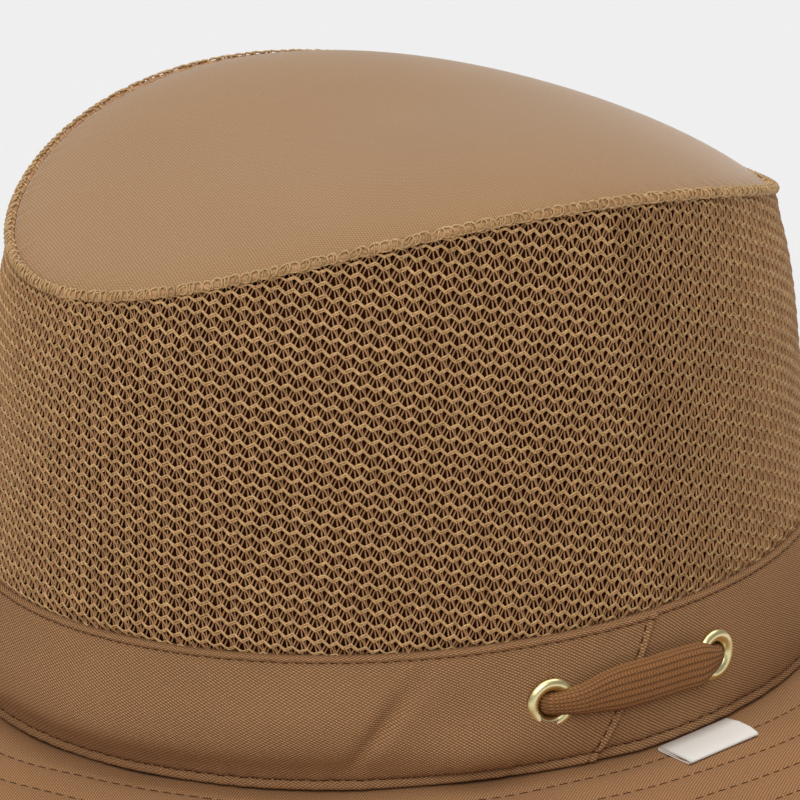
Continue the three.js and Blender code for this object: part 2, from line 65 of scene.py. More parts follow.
# Brim
JOIN_HEIGHT = 16.0
BRIM_REACH_FRONT = 70.0
BRIM_REACH_SIDE = 65.0
BRIM_SLOPE = 0.05
BRIM_THICKNESS = 2.0
BRIM_FOOT = 2.4
BRIM_ROWS = [6.5, 15.6, 24.1, 32.4, 40.7, 49.0, 57.2]
BRIM_QUILT = 0.34
QUILT_WIDTH = 0.6
QUILT_PUFF = 0.2
BRIM_WAVE_HEIGHT = 0.12

# How far the brim's rows of stitches run out from even rings, by turn
ROW_DRIFTS = table("turn out", [
    (-180, 0.5), (-120, 1.5), (-88, 2.6), (-80, 1.4), (-74, -0.4), (-67, -1.7), (-50, -0.5), (-28, 1.2),
    (-16, 0.4), (-6, -0.4), (2, -0.7), (9, 0.2), (17, 1.7), (26, 2.8), (50, 2.0), (90, 0.5), (180, 0.5),
])

# Band
BAND_HALF_LENGTH = 104.0
BAND_HALF_WIDTH = 91.4
BAND_HEIGHT = 30.5
BAND_DRAW_IN = 3.1
BAND_THICKNESS = 2.2
BAND_PUFF = 2.0
LIP_PUFF = 0.14
FOLD_PUFF = 0.2
BAND_LOW_STITCH = 0.08
BAND_HIGH_STITCH = 0.952
LAP_STEP = 0.8
LAP_TURN = -1.4
LAP_SLANT = 11.0
LAP_FADE = 29.0
LEAN_SPREAD = 24.0
FOLD_WIDTH = 0.12
NEAR_LAP = 2.4

# Tip and its seam
SEAM_HALF_LENGTH = 93.1
SEAM_HALF_WIDTH = 67.4
SEAM_HEIGHT = 109.1
SEAM_SADDLE = 10.6
SEAM_TILT = -0.052
SEAM_EGG = 0.067
BEAD_RADIUS = 1.15
BEAD_OFFSET = 0.6
TIP_THICKNESS = 1.2
TIP_DOME = 14.6
TIP_POWER = 2.7
TIP_BACK_FULLNESS = 0.0038
TIP_PUFF = 1.0
TIP_PUFF_POWER = 14
TIP_LIFT = 0.75

# Knitted side wall
KNIT_SWELL = 1.8
KNIT_SWELL_LEVEL = 0.7
KNIT_SWELL_POWER = 2.2
KNIT_TUCKED_IN = 1.4
KNIT_ROLL = 0.6

# Eyelets and cord
EYELET_SPACING = 45.5
EYELET_LEVEL = 0.53
HOLE_RADIUS = 3.2
EYELET_WALL = 0.4
FLANGE_WIDTH = 2.4
BACK_LIP = 1.3
BACK_ROLL = 0.7
EYELET_RISE = 1.4
EYELET_PRESS = 0.3
CORD_WIDTH = 9.0
CORD_THICKNESS = 3.8

# Label
LABEL_TURN = 7.6
LABEL_TWIST = 2.8
LABEL_WIDTH = 22.3
LABEL_DEPTH = 9.6
LABEL_START = 2.0

BAND_DENTS = table("turn level turn_spread level_spread depth", [
    (-27, 0.5, 5, 0.2, 1.0),
    (-21, 0.14, 7.5, 0.32, -3.4),
    (-40, 0.55, 9, 0.3, -0.7),
    (-70, 0.3, 16, 0.25, -0.8),
    (35, 0.6, 8, 0.3, 0.7),
    (150, 0.5, 12, 0.3, 0.8),
])
KNIT_DENTS = table("turn level turn_spread level_spread depth", [
    (-105, 0.6, 14, 0.3, 1.2),
    (-35, 0.45, 20, 0.35, -0.6),
    (50, 0.4, 12, 0.3, 0.8),
    (170, 0.5, 22, 0.35, 1.2),
])


def unit(vectors):
    return vectors / np.linalg.norm(vectors, axis=-1, keepdims=True)


def smooth_step(values, low, high):
    share = np.clip((values - low) / (high - low), 0, 1)
    return share * share * (3 - 2 * share)


def ridge(values, middle, width):
    """A smooth rise to 1 at the middle, lost about two widths away."""
    return np.exp(-(((values - middle) / width) ** 2))


def past_back(turn):
    """The same turn, from -180 to 180."""
    return (turn + 180) % 360 - 180


def table_value(turn, rows):
    """What a table of outward shifts by turn gives at a turn."""
    return np.interp(turn, column_of(rows, "turn"), column_of(rows, "out"))


def add_object(name, data):
    made = bpy.data.objects.new(name, data)
    bpy.context.scene.collection.objects.link(made)
    return made


def make_camera():
    turn = math.radians(CAMERA_TURN)
    rise = math.radians(CAMERA_RISE)
    roll = math.radians(CAMERA_ROLL)
    forward = Vector((-math.sin(turn) * math.cos(rise), math.cos(turn) * math.cos(rise), -math.sin(rise)))
    level_right = Vector((math.cos(turn), math.sin(turn), 0))
    level_up = level_right.cross(forward)
    right = level_right * math.cos(roll) + level_up * math.sin(roll)
    up = level_up * math.cos(roll) - level_right * math.sin(roll)
    per_pixel = CAMERA_DISTANCE * SENSOR_WIDTH / (CAMERA_LENS * IMAGE_SIZE)
    place = Vector((0, 0, JOIN_HEIGHT)) - forward * CAMERA_DISTANCE
    place -= right * (AIM_PIXEL[0] - IMAGE_SIZE / 2) * per_pixel
    place += up * (AIM_PIXEL[1] - IMAGE_SIZE / 2) * per_pixel
    data = bpy.data.cameras.new("camera")
    data.lens = CAMERA_LENS
    data.sensor_width = SENSOR_WIDTH
    data.clip_start = 0.05
    data.clip_end = 100
    camera = add_object("camera", data)
    matrix = Matrix.Identity(4)
    for row in range(3):
        matrix[row] = (right[row], up[row], -forward[row], place[row] * MM)
    camera.matrix_world = matrix
    bpy.context.scene.camera = camera


make_camera()


# Meshes from arrays of points

# The order that turns a quad over and keeps its diagonal
TURNED_OVER = [0, 3, 2, 1]


def grid_faces(columns, rows, wrap_columns, wrap_rows):
    """Quads between neighbouring columns and rows of points. A wrapped side closes on its start."""
    column = np.arange(columns if wrap_columns else columns - 1)[:, None]
    row = np.arange(rows if wrap_rows else rows - 1)[None, :]
    next_column = (column + 1) % columns
    next_row = (row + 1) % rows
    corners = [
        column * rows + row,
        next_column * rows + row,
        next_column * rows + next_row,
        column * rows + next_row,
    ]
    return np.stack(corners, -1).reshape(-1, 4)


def end_faces(steps, sides):
    """The faces that close the first and the last ring of a tube."""
    first = np.arange(sides)[None]
    last = (steps - 1) * sides + np.arange(sides)[::-1][None]
    return [first, last]


def closed_grid(points):
    """A grid with its first column and its first row added again at the end."""
    points = np.concatenate([points, points[:1]])
    return np.concatenate([points, points[:, :1]], 1)


def grid_corners(flat):
    """The flat cloth coordinates of each quad's corners, from an array with one column and row more."""
    corners = [flat[:-1, :-1], flat[1:, :-1], flat[1:, 1:], flat[:-1, 1:]]
    return np.stack(corners, 2).reshape(-1, 2)


def make_piece(name, points, face_sets, finish, corners=None):
    mesh = bpy.data.meshes.new(name)
    mesh.vertices.add(len(points))
    mesh.vertices.foreach_set("co", (points * MM).astype(np.float32).ravel())
    sides = np.concatenate([np.full(len(faces), faces.shape[1]) for faces in face_sets])
    mesh.loops.add(int(sides.sum()))
    indices = np.concatenate([faces.ravel() for faces in face_sets])
    mesh.loops.foreach_set("vertex_index", indices.astype(np.int32))
    mesh.polygons.add(len(sides))
    starts = np.concatenate([[0], np.cumsum(sides)[:-1]])
    mesh.polygons.foreach_set("loop_start", starts.astype(np.int32))
    mesh.polygons.foreach_set("use_smooth", np.ones(len(sides), bool))
    if corners is not None:
        layer = mesh.uv_layers.new(name="flat")
        layer.data.foreach_set("uv", corners.astype(np.float32).ravel())
    mesh.update(calc_edges=True)
    mesh.materials.append(finish)
    piece = add_object(name, mesh)
    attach(piece, "root")
    return piece


def along_line(points):
    """Distance along a line of points."""
    steps = np.linalg.norm(np.diff(points, axis=0), axis=-1)
    return np.concatenate([[0], np.cumsum(steps)])


def places_at(marks, reach, line):
    """The places on a line at marked distances along it."""
    return np.stack([np.interp(marks, reach, line[:, axis]) for axis in range(3)], -1)


def tube_rings(paths, normals, radius, sides):
    """Rings of points round many paths at once. A path lies across a surface whose normals are given."""
    tangents = unit(np.gradient(paths, axis=-2))
    across = unit(np.cross(tangents, normals))
    out = np.cross(across, tangents)
    angles = np.arange(sides) * 2 * math.pi / sides + math.pi / 2
    ring = across[..., None, :] * np.cos(angles)[:, None] + out[..., None, :] * np.sin(angles)[:, None]
    return paths[..., None, :] + ring * np.asarray(radius)[..., None, None]


def tube_faces(steps, sides, count):
    """Faces of many equal tubes, with their ends closed."""
    starts = np.arange(count)[:, None, None] * steps * sides
    side_faces = grid_faces(steps, sides, False, True)[:, TURNED_OVER]
    walls = (side_faces[None] + starts).reshape(-1, 4)
    ends = (np.concatenate(end_faces(steps, sides))[None] + starts).reshape(-1, sides)
    return [walls, ends]


def joined(parts):
    """Puts parts, each its points and its face sets, together as one list of points and the face sets."""
    starts = np.cumsum([0] + [len(points) for points, _ in parts])
    points = np.concatenate([points for points, _ in parts])
    kinds = zip(*[face_sets for _, face_sets in parts])
    return points, [np.concatenate([faces + start for faces, start in zip(kind, starts)]) for kind in kinds]


# The hat's forms

def dent_depth(dents, turn, level):
    depth = np.zeros(np.broadcast(turn, level).shape)
    for dent in dents:
        across = past_back(turn - dent["turn"]) / dent["turn_spread"]
        up = (level - dent["level"]) / dent["level_spread"]
        depth = depth + dent["depth"] * np.exp(-across**2 - up**2)
    return depth


def band_loop(turn):
    angle = np.radians(turn)
    return np.stack([BAND_HALF_WIDTH * np.cos(angle), BAND_HALF_LENGTH * np.sin(angle), 0 * angle], -1)


def outward(turn):
    angle = np.radians(turn)
    return unit(np.stack([np.cos(angle) / BAND_HALF_WIDTH, np.sin(angle) / BAND_HALF_LENGTH, 0 * angle], -1))


def seam_point(turn):
    angle = np.radians(turn)
    x = SEAM_HALF_WIDTH * (1 + SEAM_EGG * np.sin(angle)) * np.cos(angle)
    y = SEAM_HALF_LENGTH * np.sin(angle)
    z = JOIN_HEIGHT + SEAM_HEIGHT + SEAM_TILT * y + SEAM_SADDLE * np.cos(2 * angle)
    return np.stack([x, y, z], -1)


def surface_normals(surface, turn, level):
    turn_step = 0.5
    level_step = 0.005
    along_turn = surface(turn + turn_step, level) - surface(turn - turn_step, level)
    along_level = surface(turn, level + level_step) - surface(turn, level - level_step)
    return unit(np.cross(along_turn, along_level))


KNIT_RISE = SEAM_HEIGHT - BAND_HEIGHT
BAND_BOTTOM = JOIN_HEIGHT + GAP
BAND_TOP = JOIN_HEIGHT + BAND_HEIGHT


def swell_share(level):
    fall_power = KNIT_SWELL_POWER * (1 - KNIT_SWELL_LEVEL) / KNIT_SWELL_LEVEL
    place = np.clip(level, 0, 1)
    most = KNIT_SWELL_LEVEL**KNIT_SWELL_POWER * (1 - KNIT_SWELL_LEVEL) ** fall_power
    return place**KNIT_SWELL_POWER * (1 - place) ** fall_power / most


def knit_surface(turn, level):
    """The knit's outer face: level 0 at the band's top edge, level 1 under the tip's seam."""
    out = outward(turn)
    up = np.maximum(level, 0)
    foot = band_loop(turn) - out * BAND_DRAW_IN + [0, 0, BAND_TOP]
    top = seam_point(turn) + out * BEAD_OFFSET - [0, 0, BEAD_RADIUS + GAP]
    point = foot + (top - foot) * up[..., None]
    dent = dent_depth(KNIT_DENTS, turn, level) * 4 * up * (1 - up)
    tucked_in = 1 - smooth_step(level, -0.02, 0.03)
    offset = KNIT_SWELL * swell_share(level) - dent - KNIT_TUCKED_IN * tucked_in
    offset = offset + KNIT_ROLL * smooth_step(level, 0.92, 1.0)
    point = point + out * offset[..., None]
    point[..., 2] += np.minimum(level, 0) * KNIT_RISE
    return point


# Shader helpers

def new_group(name, inputs, outputs):
    group = bpy.data.node_groups.new(name, "ShaderNodeTree")
    for label, kind, value in inputs:
        socket = group.interface.new_socket(name=label, in_out="INPUT", socket_type=kind)
        if value is not None:
            socket.default_value = value
    for label, kind in outputs:
        group.interface.new_socket(name=label, in_out="OUTPUT", socket_type=kind)
    return group, group.nodes.new("NodeGroupInput").outputs, group.nodes.new("NodeGroupOutput").inputs


def connect(tree, socket, value):
    if isinstance(value, bpy.types.NodeSocket):
        tree.links.new(value, socket)
    else:
        socket.default_value = value


def calc(tree, operation, *values):
    node = tree.nodes.new("ShaderNodeMath")
    node.operation = operation
    for socket, value in zip(node.inputs, values):
        connect(tree, socket, value)
    return node.outputs[0]


def vector_calc(tree, operation, first, **others):
    """A vector sum: others name the node's own sockets, such as Scale."""
    node = tree.nodes.new("ShaderNodeVectorMath")
    node.operation = operation
    connect(tree, node.inputs[0], first)
    for label, value in others.items():
        socket = node.inputs[1] if label == "second" else node.inputs[label]
        connect(tree, socket, value)
    return node.outputs["Value" if operation == "DOT_PRODUCT" else "Vector"]


def remap(tree, value, low, high, new_low, new_high):
    node = tree.nodes.new("ShaderNodeMapRange")
    for socket, setting in zip(node.inputs, (value, low, high, new_low, new_high)):
        connect(tree, socket, setting)
    return node.outputs[0]


def mix_colours(tree, share, first, second):
    node = tree.nodes.new("ShaderNodeMix")
    node.data_type = "RGBA"
    connect(tree, node.inputs["Factor"], share)
    connect(tree, node.inputs[6], first)
    connect(tree, node.inputs[7], second)
    return node.outputs[2]


def noise(tree, place, scale, detail=2.0):
    node = tree.nodes.new("ShaderNodeTexNoise")
    connect(tree, node.inputs["Vector"], place)
    connect(tree, node.inputs["Scale"], scale)
    node.inputs["Detail"].default_value = detail
    return node.outputs["Fac"]


def wave(tree, value, period):
    """A smooth wave from 0 to 1 along a length."""
    turns = calc(tree, "DIVIDE", value, period)
    swing = calc(tree, "SINE", calc(tree, "MULTIPLY", turns, 2 * math.pi))
    return calc(tree, "MULTIPLY_ADD", swing, 0.5, 0.5)


def weave_group():
    """Canvas: raised thread crossings on two slanting directions, given as crossings to the millimetre."""
    inputs = [
        ("Flat", "NodeSocketVector", None),
        ("First Slant", "NodeSocketVector", None),
        ("Second Slant", "NodeSocketVector", None),
        ("Crossing", "NodeSocketFloat", 0.75),
        ("Wander", "NodeSocketFloat", 0.3),
    ]
    group, given, result = new_group("canvas_weave", inputs, [("Height", "NodeSocketFloat")])
    slow = group.nodes.new("ShaderNodeTexNoise")
    connect(group, slow.inputs["Vector"], given["Flat"])
    slow.inputs["Scale"].default_value = 0.12
    slow.inputs["Detail"].default_value = 1.0
    drift = vector_calc(group, "SCALE", slow.outputs["Color"], Scale=given["Wander"])
    moved = vector_calc(group, "ADD", given["Flat"], second=drift)
    waves = []
    for slant in ("First Slant", "Second Slant"):
        crossings = vector_calc(group, "DOT_PRODUCT", moved, second=given[slant])
        waves.append(wave(group, crossings, 1.0))
    cut_across = calc(group, "MULTIPLY", calc(group, "SUBTRACT", waves[1], 1.0), given["Crossing"])
    connect(group, result["Height"], calc(group, "MULTIPLY", waves[0], calc(group, "ADD", cut_across, 1.0)))
    return group


def mottle_group():
    """Slow changes of shade over cloth, with a few pale fibres."""
    inputs = [
        ("Place", "NodeSocketVector", None),
        ("Patch Scale", "NodeSocketFloat", 0.05),
        ("Fibre Scale", "NodeSocketFloat", 1.4),
    ]
    outputs = [("Patches", "NodeSocketFloat"), ("Fibres", "NodeSocketFloat")]
    group, given, result = new_group("cloth_mottle", inputs, outputs)
    patches = noise(group, given["Place"], given["Patch Scale"], 4.0)
    specks = noise(group, given["Place"], given["Fibre Scale"], 3.0)
    connect(group, result["Patches"], patches)
    connect(group, result["Fibres"], remap(group, specks, 0.62, 0.8, 0, 1))
    return group


WEAVE = weave_group()
MOTTLE = mottle_group()


def place_group(tree, group, **values):
    node = tree.nodes.new("ShaderNodeGroup")
    node.node_tree = group
    for label, value in values.items():
        connect(tree, node.inputs[label.replace("_", " ")], value)
    return node.outputs


def bump(tree, height, distance, strength=1.0, normal=None):
    node = tree.nodes.new("ShaderNodeBump")
    node.inputs["Distance"].default_value = distance * MM
    node.inputs["Strength"].default_value = strength
    connect(tree, node.inputs["Height"], height)
    if normal is not None:
        connect(tree, node.inputs["Normal"], normal)
    return node.outputs[0]


WARM_SHEEN = (1.0, 0.82, 0.62, 1)
PALE_SHEEN = (1.0, 0.93, 0.84, 1)


def new_finish(name, roughness, sheen=0.0, metallic=0.0, specular=0.3, sheen_tint=WARM_SHEEN):
    finish = bpy.data.materials.new(name)
    finish.use_nodes = True
    shader = finish.node_tree.nodes["Principled BSDF"]
    shader.inputs["Roughness"].default_value = roughness
    shader.inputs["Metallic"].default_value = metallic
    shader.inputs["Specular IOR Level"].default_value = specular
    shader.inputs["Sheen Weight"].default_value = sheen
    shader.inputs["Sheen Roughness"].default_value = 0.4
    shader.inputs["Sheen Tint"].default_value = sheen_tint
    return finish, finish.node_tree, shader.inputs


def flat_place(tree):
    node = tree.nodes.new("ShaderNodeUVMap")
    node.uv_map = "flat"
    return node.outputs[0]


def object_place(tree):
    """Places on the part in millimetres."""
    node = tree.nodes.new("ShaderNodeTexCoord")
    return vector_calc(tree, "SCALE", node.outputs["Object"], Scale=1 / MM)


def cloth_finish(name, colour, contrast, first_slant, second_slant, crossing, relief, sheen, sheen_tint):
    finish, tree, shader = new_finish(name, 0.92, sheen, specular=0.12, sheen_tint=sheen_tint)
    weave = place_group(
        tree, WEAVE, Flat=flat_place(tree), First_Slant=first_slant, Second_Slant=second_slant,
        Crossing=crossing, Wander=0.3
    )["Height"]
    mottle = place_group(tree, MOTTLE, Place=object_place(tree), Patch_Scale=0.03, Fibre_Scale=1.1)
    dark = tuple(channel * (1 - 0.6 * contrast) for channel in colour) + (1,)
    light = tuple(min(channel * (1 + 1.3 * contrast), 1.0) for channel in colour) + (1,)
    grain = noise(tree, flat_place(tree), 1.9, 2.0)
    uneven = calc(tree, "MULTIPLY", weave, calc(tree, "MULTIPLY_ADD", grain, 1.2, 0.4))
    share = calc(tree, "MULTIPLY_ADD", mottle["Patches"], 0.2, calc(tree, "SUBTRACT", uneven, 0.1))
    shade = mix_colours(tree, share, dark, light)
    pale = calc(tree, "MULTIPLY", mottle["Fibres"], 0.1)
    shade = mix_colours(tree, pale, shade, (0.75, 0.6, 0.42, 1))
    connect(tree, shader["Base Color"], shade)
    connect(tree, shader["Normal"], bump(tree, weave, relief))
    return finish


def yarn_finish(name, dark, light, roughness=0.42):
    finish, tree, shader = new_finish(name, roughness, 0.05, specular=0.5)
    place = object_place(tree)
    tone = noise(tree, place, 0.35, 3.0)
    fine = noise(tree, place, 2.2, 1.0)
    mixed = calc(tree, "MULTIPLY_ADD", fine, 0.6, calc(tree, "MULTIPLY", tone, 0.6))
    share = remap(tree, mixed, 0.3, 0.9, 0, 1)
    connect(tree, shader["Base Color"], mix_colours(tree, share, dark, light))
    connect(tree, shader["Normal"], bump(tree, noise(tree, place, 7.0, 1.0), 0.05))
    return finish


def plain_finish(name, colour, roughness, metallic=0.0, relief=0.01, scale=3.0, specular=0.4):
    finish, tree, shader = new_finish(name, roughness, 0.0, metallic, specular)
    place = object_place(tree)
    grain = noise(tree, place, scale, 3.0)
    darker = tuple(channel * 0.86 for channel in colour[:3]) + (1,)
    connect(tree, shader["Base Color"], mix_colours(tree, grain, darker, colour))
    connect(tree, shader["Normal"], bump(tree, grain, relief))
    return finish


BAND_CLOTH = cloth_finish(
    "band_cloth", colour=(0.308, 0.160, 0.073), contrast=0.9, first_slant=(0.94, 1.82, 0.0),
    second_slant=(-0.82, 1.26, 0.0), crossing=0.72, relief=0.1, sheen=0.05, sheen_tint=WARM_SHEEN
)
BRIM_CLOTH = cloth_finish(
    "brim_cloth", colour=(0.335, 0.172, 0.078), contrast=0.58, first_slant=(1.36, 0.95, 0.0),
    second_slant=(0.40, 1.88, 0.0), crossing=0.85, relief=0.05, sheen=0.08, sheen_tint=WARM_SHEEN
)
TIP_CLOTH = cloth_finish(
    "tip_cloth", colour=(0.372, 0.213, 0.103), contrast=0.32, first_slant=(0.41, 1.62, 0.0),
    second_slant=(-0.99, 1.05, 0.0), crossing=0.85, relief=0.04, sheen=0.6, sheen_tint=PALE_SHEEN
)
ROW_YARN = yarn_finish("row_yarn", (0.31, 0.155, 0.050, 1), (0.86, 0.55, 0.25, 1), 0.32)
TIE_YARN = yarn_finish("tie_yarn", (0.25, 0.110, 0.038, 1), (0.62, 0.34, 0.145, 1))
SEAM_YARN = yarn_finish("seam_yarn", (0.32, 0.18, 0.065, 1), (0.70, 0.46, 0.22, 1))
# The knit's backing is near black: painted shade, for the shadowed inside of the hat seen through the knit's
# openings.
KNIT_PAINTED_SHADE = plain_finish("knit_painted_shade", (0.045, 0.013, 0.003, 1), 1.0, relief=0.3, scale=1.2, specular=0.0)
STITCH_THREAD = plain_finish("stitch_thread", (0.075, 0.030, 0.010, 1), 0.8, specular=0.1)
BRASS = plain_finish("brass", (0.97, 0.85, 0.45, 1), 0.3, metallic=1.0, relief=0.003, scale=1.5)


# Chin cord

def curve_through(points, step):
    """A centripetal Catmull-Rom curve through points, sampled about every step."""
    points = np.asarray(points, float)
    ends = [2 * points[:1] - points[1:2], 2 * points[-1:] - points[-2:-1]]
    held = np.concatenate([ends[0], points, ends[1]])
    pieces = []
    for start in range(len(points) - 1):
        four = held[start:start + 4]
        knots = np.concatenate([[0], np.cumsum(np.linalg.norm(np.diff(four, axis=0), axis=1) ** 0.5)])
        fine = np.linspace(knots[1], knots[2], 24, endpoint=False)[:, None]

        def blend(a, b, low, high):
            return ((knots[high] - fine) * a + (fine - knots[low]) * b) / (knots[high] - knots[low])

        first = blend(four[0], four[1], 0, 1)
        second = blend(four[1], four[2], 1, 2)
        third = blend(four[2], four[3], 2, 3)
        low_pair = blend(first, second, 0, 2)
        high_pair = blend(second, third, 1, 3)
        pieces.append(blend(low_pair, high_pair, 1, 2))
    line = np.concatenate(pieces + [points[-1:]])
    reach = along_line(line)
    count = max(int(round(reach[-1] / step)), 4)
    marks = np.linspace(0, reach[-1], count + 1)
    return places_at(marks, reach, line)


# The cord's route: down inside the crown from the left eyelet, over the floor and up to the right one.
# The way down is given by lengths across, along and up, and the floor's places by lengths across and along.
LIE = 2.2
TOUCH = 2.3
WAY_DOWN = [(76.8, 20.1, 30.9), (70.0, 19.0, 25.5), (66.1, 18.3, 17.6), (62.2, 17.8, 9.7), (55.6, 17.2, 4.2)]
FRONT_FLOOR = [
    (47.5, -17.6), (35.0, -22.8), (29.4, -36.0), (33.0, -49.0), (43.0, -57.0), (53.5, -64.0),
    (56.0, -75.5), (47.0, -85.0), (28.0, -90.0), (0.0, -91.5), (-27.0, -89.0), (-46.0, -83.0),
    (-54.5, -73.0), (-51.0, -61.5), (-40.5, -54.5), (-31.0, -46.0), (-28.5, -33.5), (-35.5, -22.0),
    (-47.5, -17.4),
]
BACK_FLOOR = [
    (47.5, 17.6), (35.0, 23.2), (30.0, 36.0), (29.5, 50.0), (25.0, 63.5), (14.0, 73.5), (-1.0, 76.0),
    (-15.5, 71.5), (-25.5, 61.0), (-28.5, 47.5), (-29.5, 34.5), (-35.5, 22.5), (-47.5, 17.4),
]
FRONT_SIDE = -1
BACK_SIDE = 1


def cord_route(side, floor):
    down = [(across, side * along, up) for across, along, up in WAY_DOWN]
    way_up = [(-across, along, up) for across, along, up in down[::-1]]
    lying = [(across, along, LIE) for across, along in floor[1:-1]]
    return down + [(*floor[0], TOUCH)] + lying + [(*floor[-1], TOUCH)] + way_up


RUN_STRAIGHT = 2.5
EYELET_TURN = math.degrees(math.asin(EYELET_SPACING / 2 / BAND_HALF_LENGTH))
BARREL_RADIUS = HOLE_RADIUS + EYELET_WALL
FLANGE_RADIUS = BARREL_RADIUS + FLANGE_WIDTH
BACK_RADIUS = BARREL_RADIUS + BACK_LIP
EYELETS = {
    "eyelet_front_left": -EYELET_TURN,
    "eyelet_back_left": EYELET_TURN,
    "eyelet_back_right": 180 - EYELET_TURN,
    "eyelet_front_right": 180 + EYELET_TURN,
}


# Band forms, used by the eyelets and the cord too

def fold_turn(level):
    return LAP_TURN + LAP_SLANT * (level - 0.5)


def lap_offset(turn_past_fold):
    fading = LAP_STEP * ridge(turn_past_fold, 0, LAP_FADE)
    return np.where(turn_past_fold > 0, 0, fading)


def band_puff(level):
    """How far the band stands out, as a share of its puff, with its two stitched lines drawn in."""
    between = np.clip((level - BAND_LOW_STITCH) / (BAND_HIGH_STITCH - BAND_LOW_STITCH), 0, 1)
    belly = np.sin(math.pi * between**0.7) ** 0.8
    below = np.clip(level / BAND_LOW_STITCH, 0, 1)
    above = np.clip((level - BAND_HIGH_STITCH) / (1 - BAND_HIGH_STITCH), 0, 1)
    lip = LIP_PUFF * np.sin(math.pi * below) ** 0.7
    fold = FOLD_PUFF * np.sin(math.pi * above) ** 0.7
    return belly + lip + fold


def band_point(turn, level, offset):
    out = outward(turn)
    point = band_loop(turn) + out * np.asarray(offset - BAND_DRAW_IN * level)[..., None]
    point[..., 2] = BAND_BOTTOM + (BAND_TOP - BAND_BOTTOM) * level
    return point


# The band's puff at the eyelets' level
EYELET_PUFF = 0.887


def eyelet_seat(turn):
    past_fold = past_back(turn - fold_turn(EYELET_LEVEL))
    offset = EYELET_PUFF * BAND_PUFF + lap_offset(past_fold) - EYELET_PRESS
    return band_point(turn, EYELET_LEVEL, offset)


def eyelet_depth(turn):
    inner = band_point(turn, EYELET_LEVEL, -BAND_THICKNESS)
    return float(np.linalg.norm(eyelet_seat(turn) - inner)) + GAP


def run_end(turn, past):
    inside = eyelet_depth(turn) + BACK_ROLL + GAP * 2 + past
    return eyelet_seat(turn) - outward(turn) * inside


BRAID_COLUMNS = 20
BRAID_FLATNESS = 2.6
PLAIT_LEAN = 1.3
PLAIT_LENGTH = 0.85


def braid_section(angles):
    """A flat tube's outline, 1 wide along the first axis and 1 thick."""
    across = np.cos(angles)
    over = np.sin(angles)
    bulge = (np.abs(across) ** BRAID_FLATNESS + np.abs(over) ** BRAID_FLATNESS) ** (-1 / BRAID_FLATNESS)
    return np.stack([across * bulge / 2, over * bulge / 2], -1)


def braid_relief(distance, angles, height):
    """Lengthwise ribs of V-shaped plaits."""
    column = angles / (2 * math.pi) * BRAID_COLUMNS
    across = column - np.floor(column) - 0.5
    rib = 1 - (2 * across) ** 2
    plait = distance / PLAIT_LENGTH - PLAIT_LEAN * np.abs(across)
    bulge = np.abs(np.cos(math.pi * plait)) ** 0.6
    return height * (np.sqrt(rib) * (0.45 + 0.55 * bulge) - 0.75)


def braid_tube(name, line, width_axes, widths, thicknesses, around, relief):
    tangents = unit(np.gradient(line, axis=0))
    side = unit(width_axes - tangents * np.sum(width_axes * tangents, -1, keepdims=True))
    over = np.cross(tangents, side)
    angles = (np.arange(around) + 0.5) * 2 * math.pi / around
    reach = along_line(line)
    section = braid_section(angles)
    flat_across = section[None, :, 0] * widths[:, None]
    flat_over = section[None, :, 1] * thicknesses[:, None]
    raised = braid_relief(reach[:, None], angles[None], relief)
    out = unit(np.stack([section[:, 0] / 4, section[:, 1]], -1))
    flat_across = flat_across + raised * out[None, :, 0]
    flat_over = flat_over + raised * out[None, :, 1]
    points = line[:, None] + side[:, None] * flat_across[..., None] + over[:, None] * flat_over[..., None]
    walls = grid_faces(len(line), around, False, True)
    ends = end_faces(len(line), around)
    columns = np.arange(around + 1) / around * BRAID_COLUMNS
    flat = np.stack(np.broadcast_arrays(columns[None], reach[:, None] / PLAIT_LENGTH), -1)
    corners = np.concatenate([grid_corners(flat), np.zeros((2 * around, 2))])
    return make_piece(name, points.reshape(-1, 3), [walls] + ends, BRAID, corners)


def braid_finish():
    finish, tree, shader = new_finish("braid", 0.8, 0.03, specular=0.25)
    parts = tree.nodes.new("ShaderNodeSeparateXYZ")
    connect(tree, parts.inputs[0], flat_place(tree))
    across = calc(tree, "SUBTRACT", calc(tree, "FRACT", parts.outputs[0]), 0.5)
    lean = calc(tree, "ABSOLUTE", across)
    plait = calc(tree, "SUBTRACT", parts.outputs[1], calc(tree, "MULTIPLY", lean, PLAIT_LEAN))
    swing = calc(tree, "ABSOLUTE", calc(tree, "COSINE", calc(tree, "MULTIPLY", plait, math.pi)))
    rib = calc(tree, "SUBTRACT", 1.0, calc(tree, "MULTIPLY", calc(tree, "MULTIPLY", across, across), 4.0))
    height = calc(tree, "MULTIPLY", calc(tree, "SQRT", rib), calc(tree, "MULTIPLY_ADD", swing, 0.6, 0.4))
    tone = noise(tree, object_place(tree), 1.5, 3.0)
    # The colour follows the plaits' relief and goes near black between them: painted shade in the braid's
    # grooves.
    share = calc(tree, "MULTIPLY_ADD", tone, 0.25, calc(tree, "MULTIPLY", height, 0.85))
    colour = mix_colours(tree, share, (0.030, 0.009, 0.002, 1), (0.46, 0.205, 0.072, 1))
    connect(tree, shader["Base Color"], colour)
    connect(tree, shader["Normal"], bump(tree, height, 0.35))
    return finish


BRAID = braid_finish()
RUN_STEP = 0.9
RUN_SIDES = 20


def make_run(name, first_turn, route, second_turn):
    start = [run_end(first_turn, 0), run_end(first_turn, RUN_STRAIGHT)]
    end = [run_end(second_turn, RUN_STRAIGHT), run_end(second_turn, 0)]
    line = curve_through(start + route + end, RUN_STEP)
    tangents = unit(np.gradient(line, axis=0))
    level_side = np.cross([0.0, 0.0, 1.0], tangents)
    count = len(line)
    widths = np.full(count, CORD_WIDTH)
    thicknesses = np.full(count, CORD_THICKNESS)
    piece = braid_tube(name, line, level_side, widths, thicknesses, RUN_SIDES, 0.0)
    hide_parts(name)


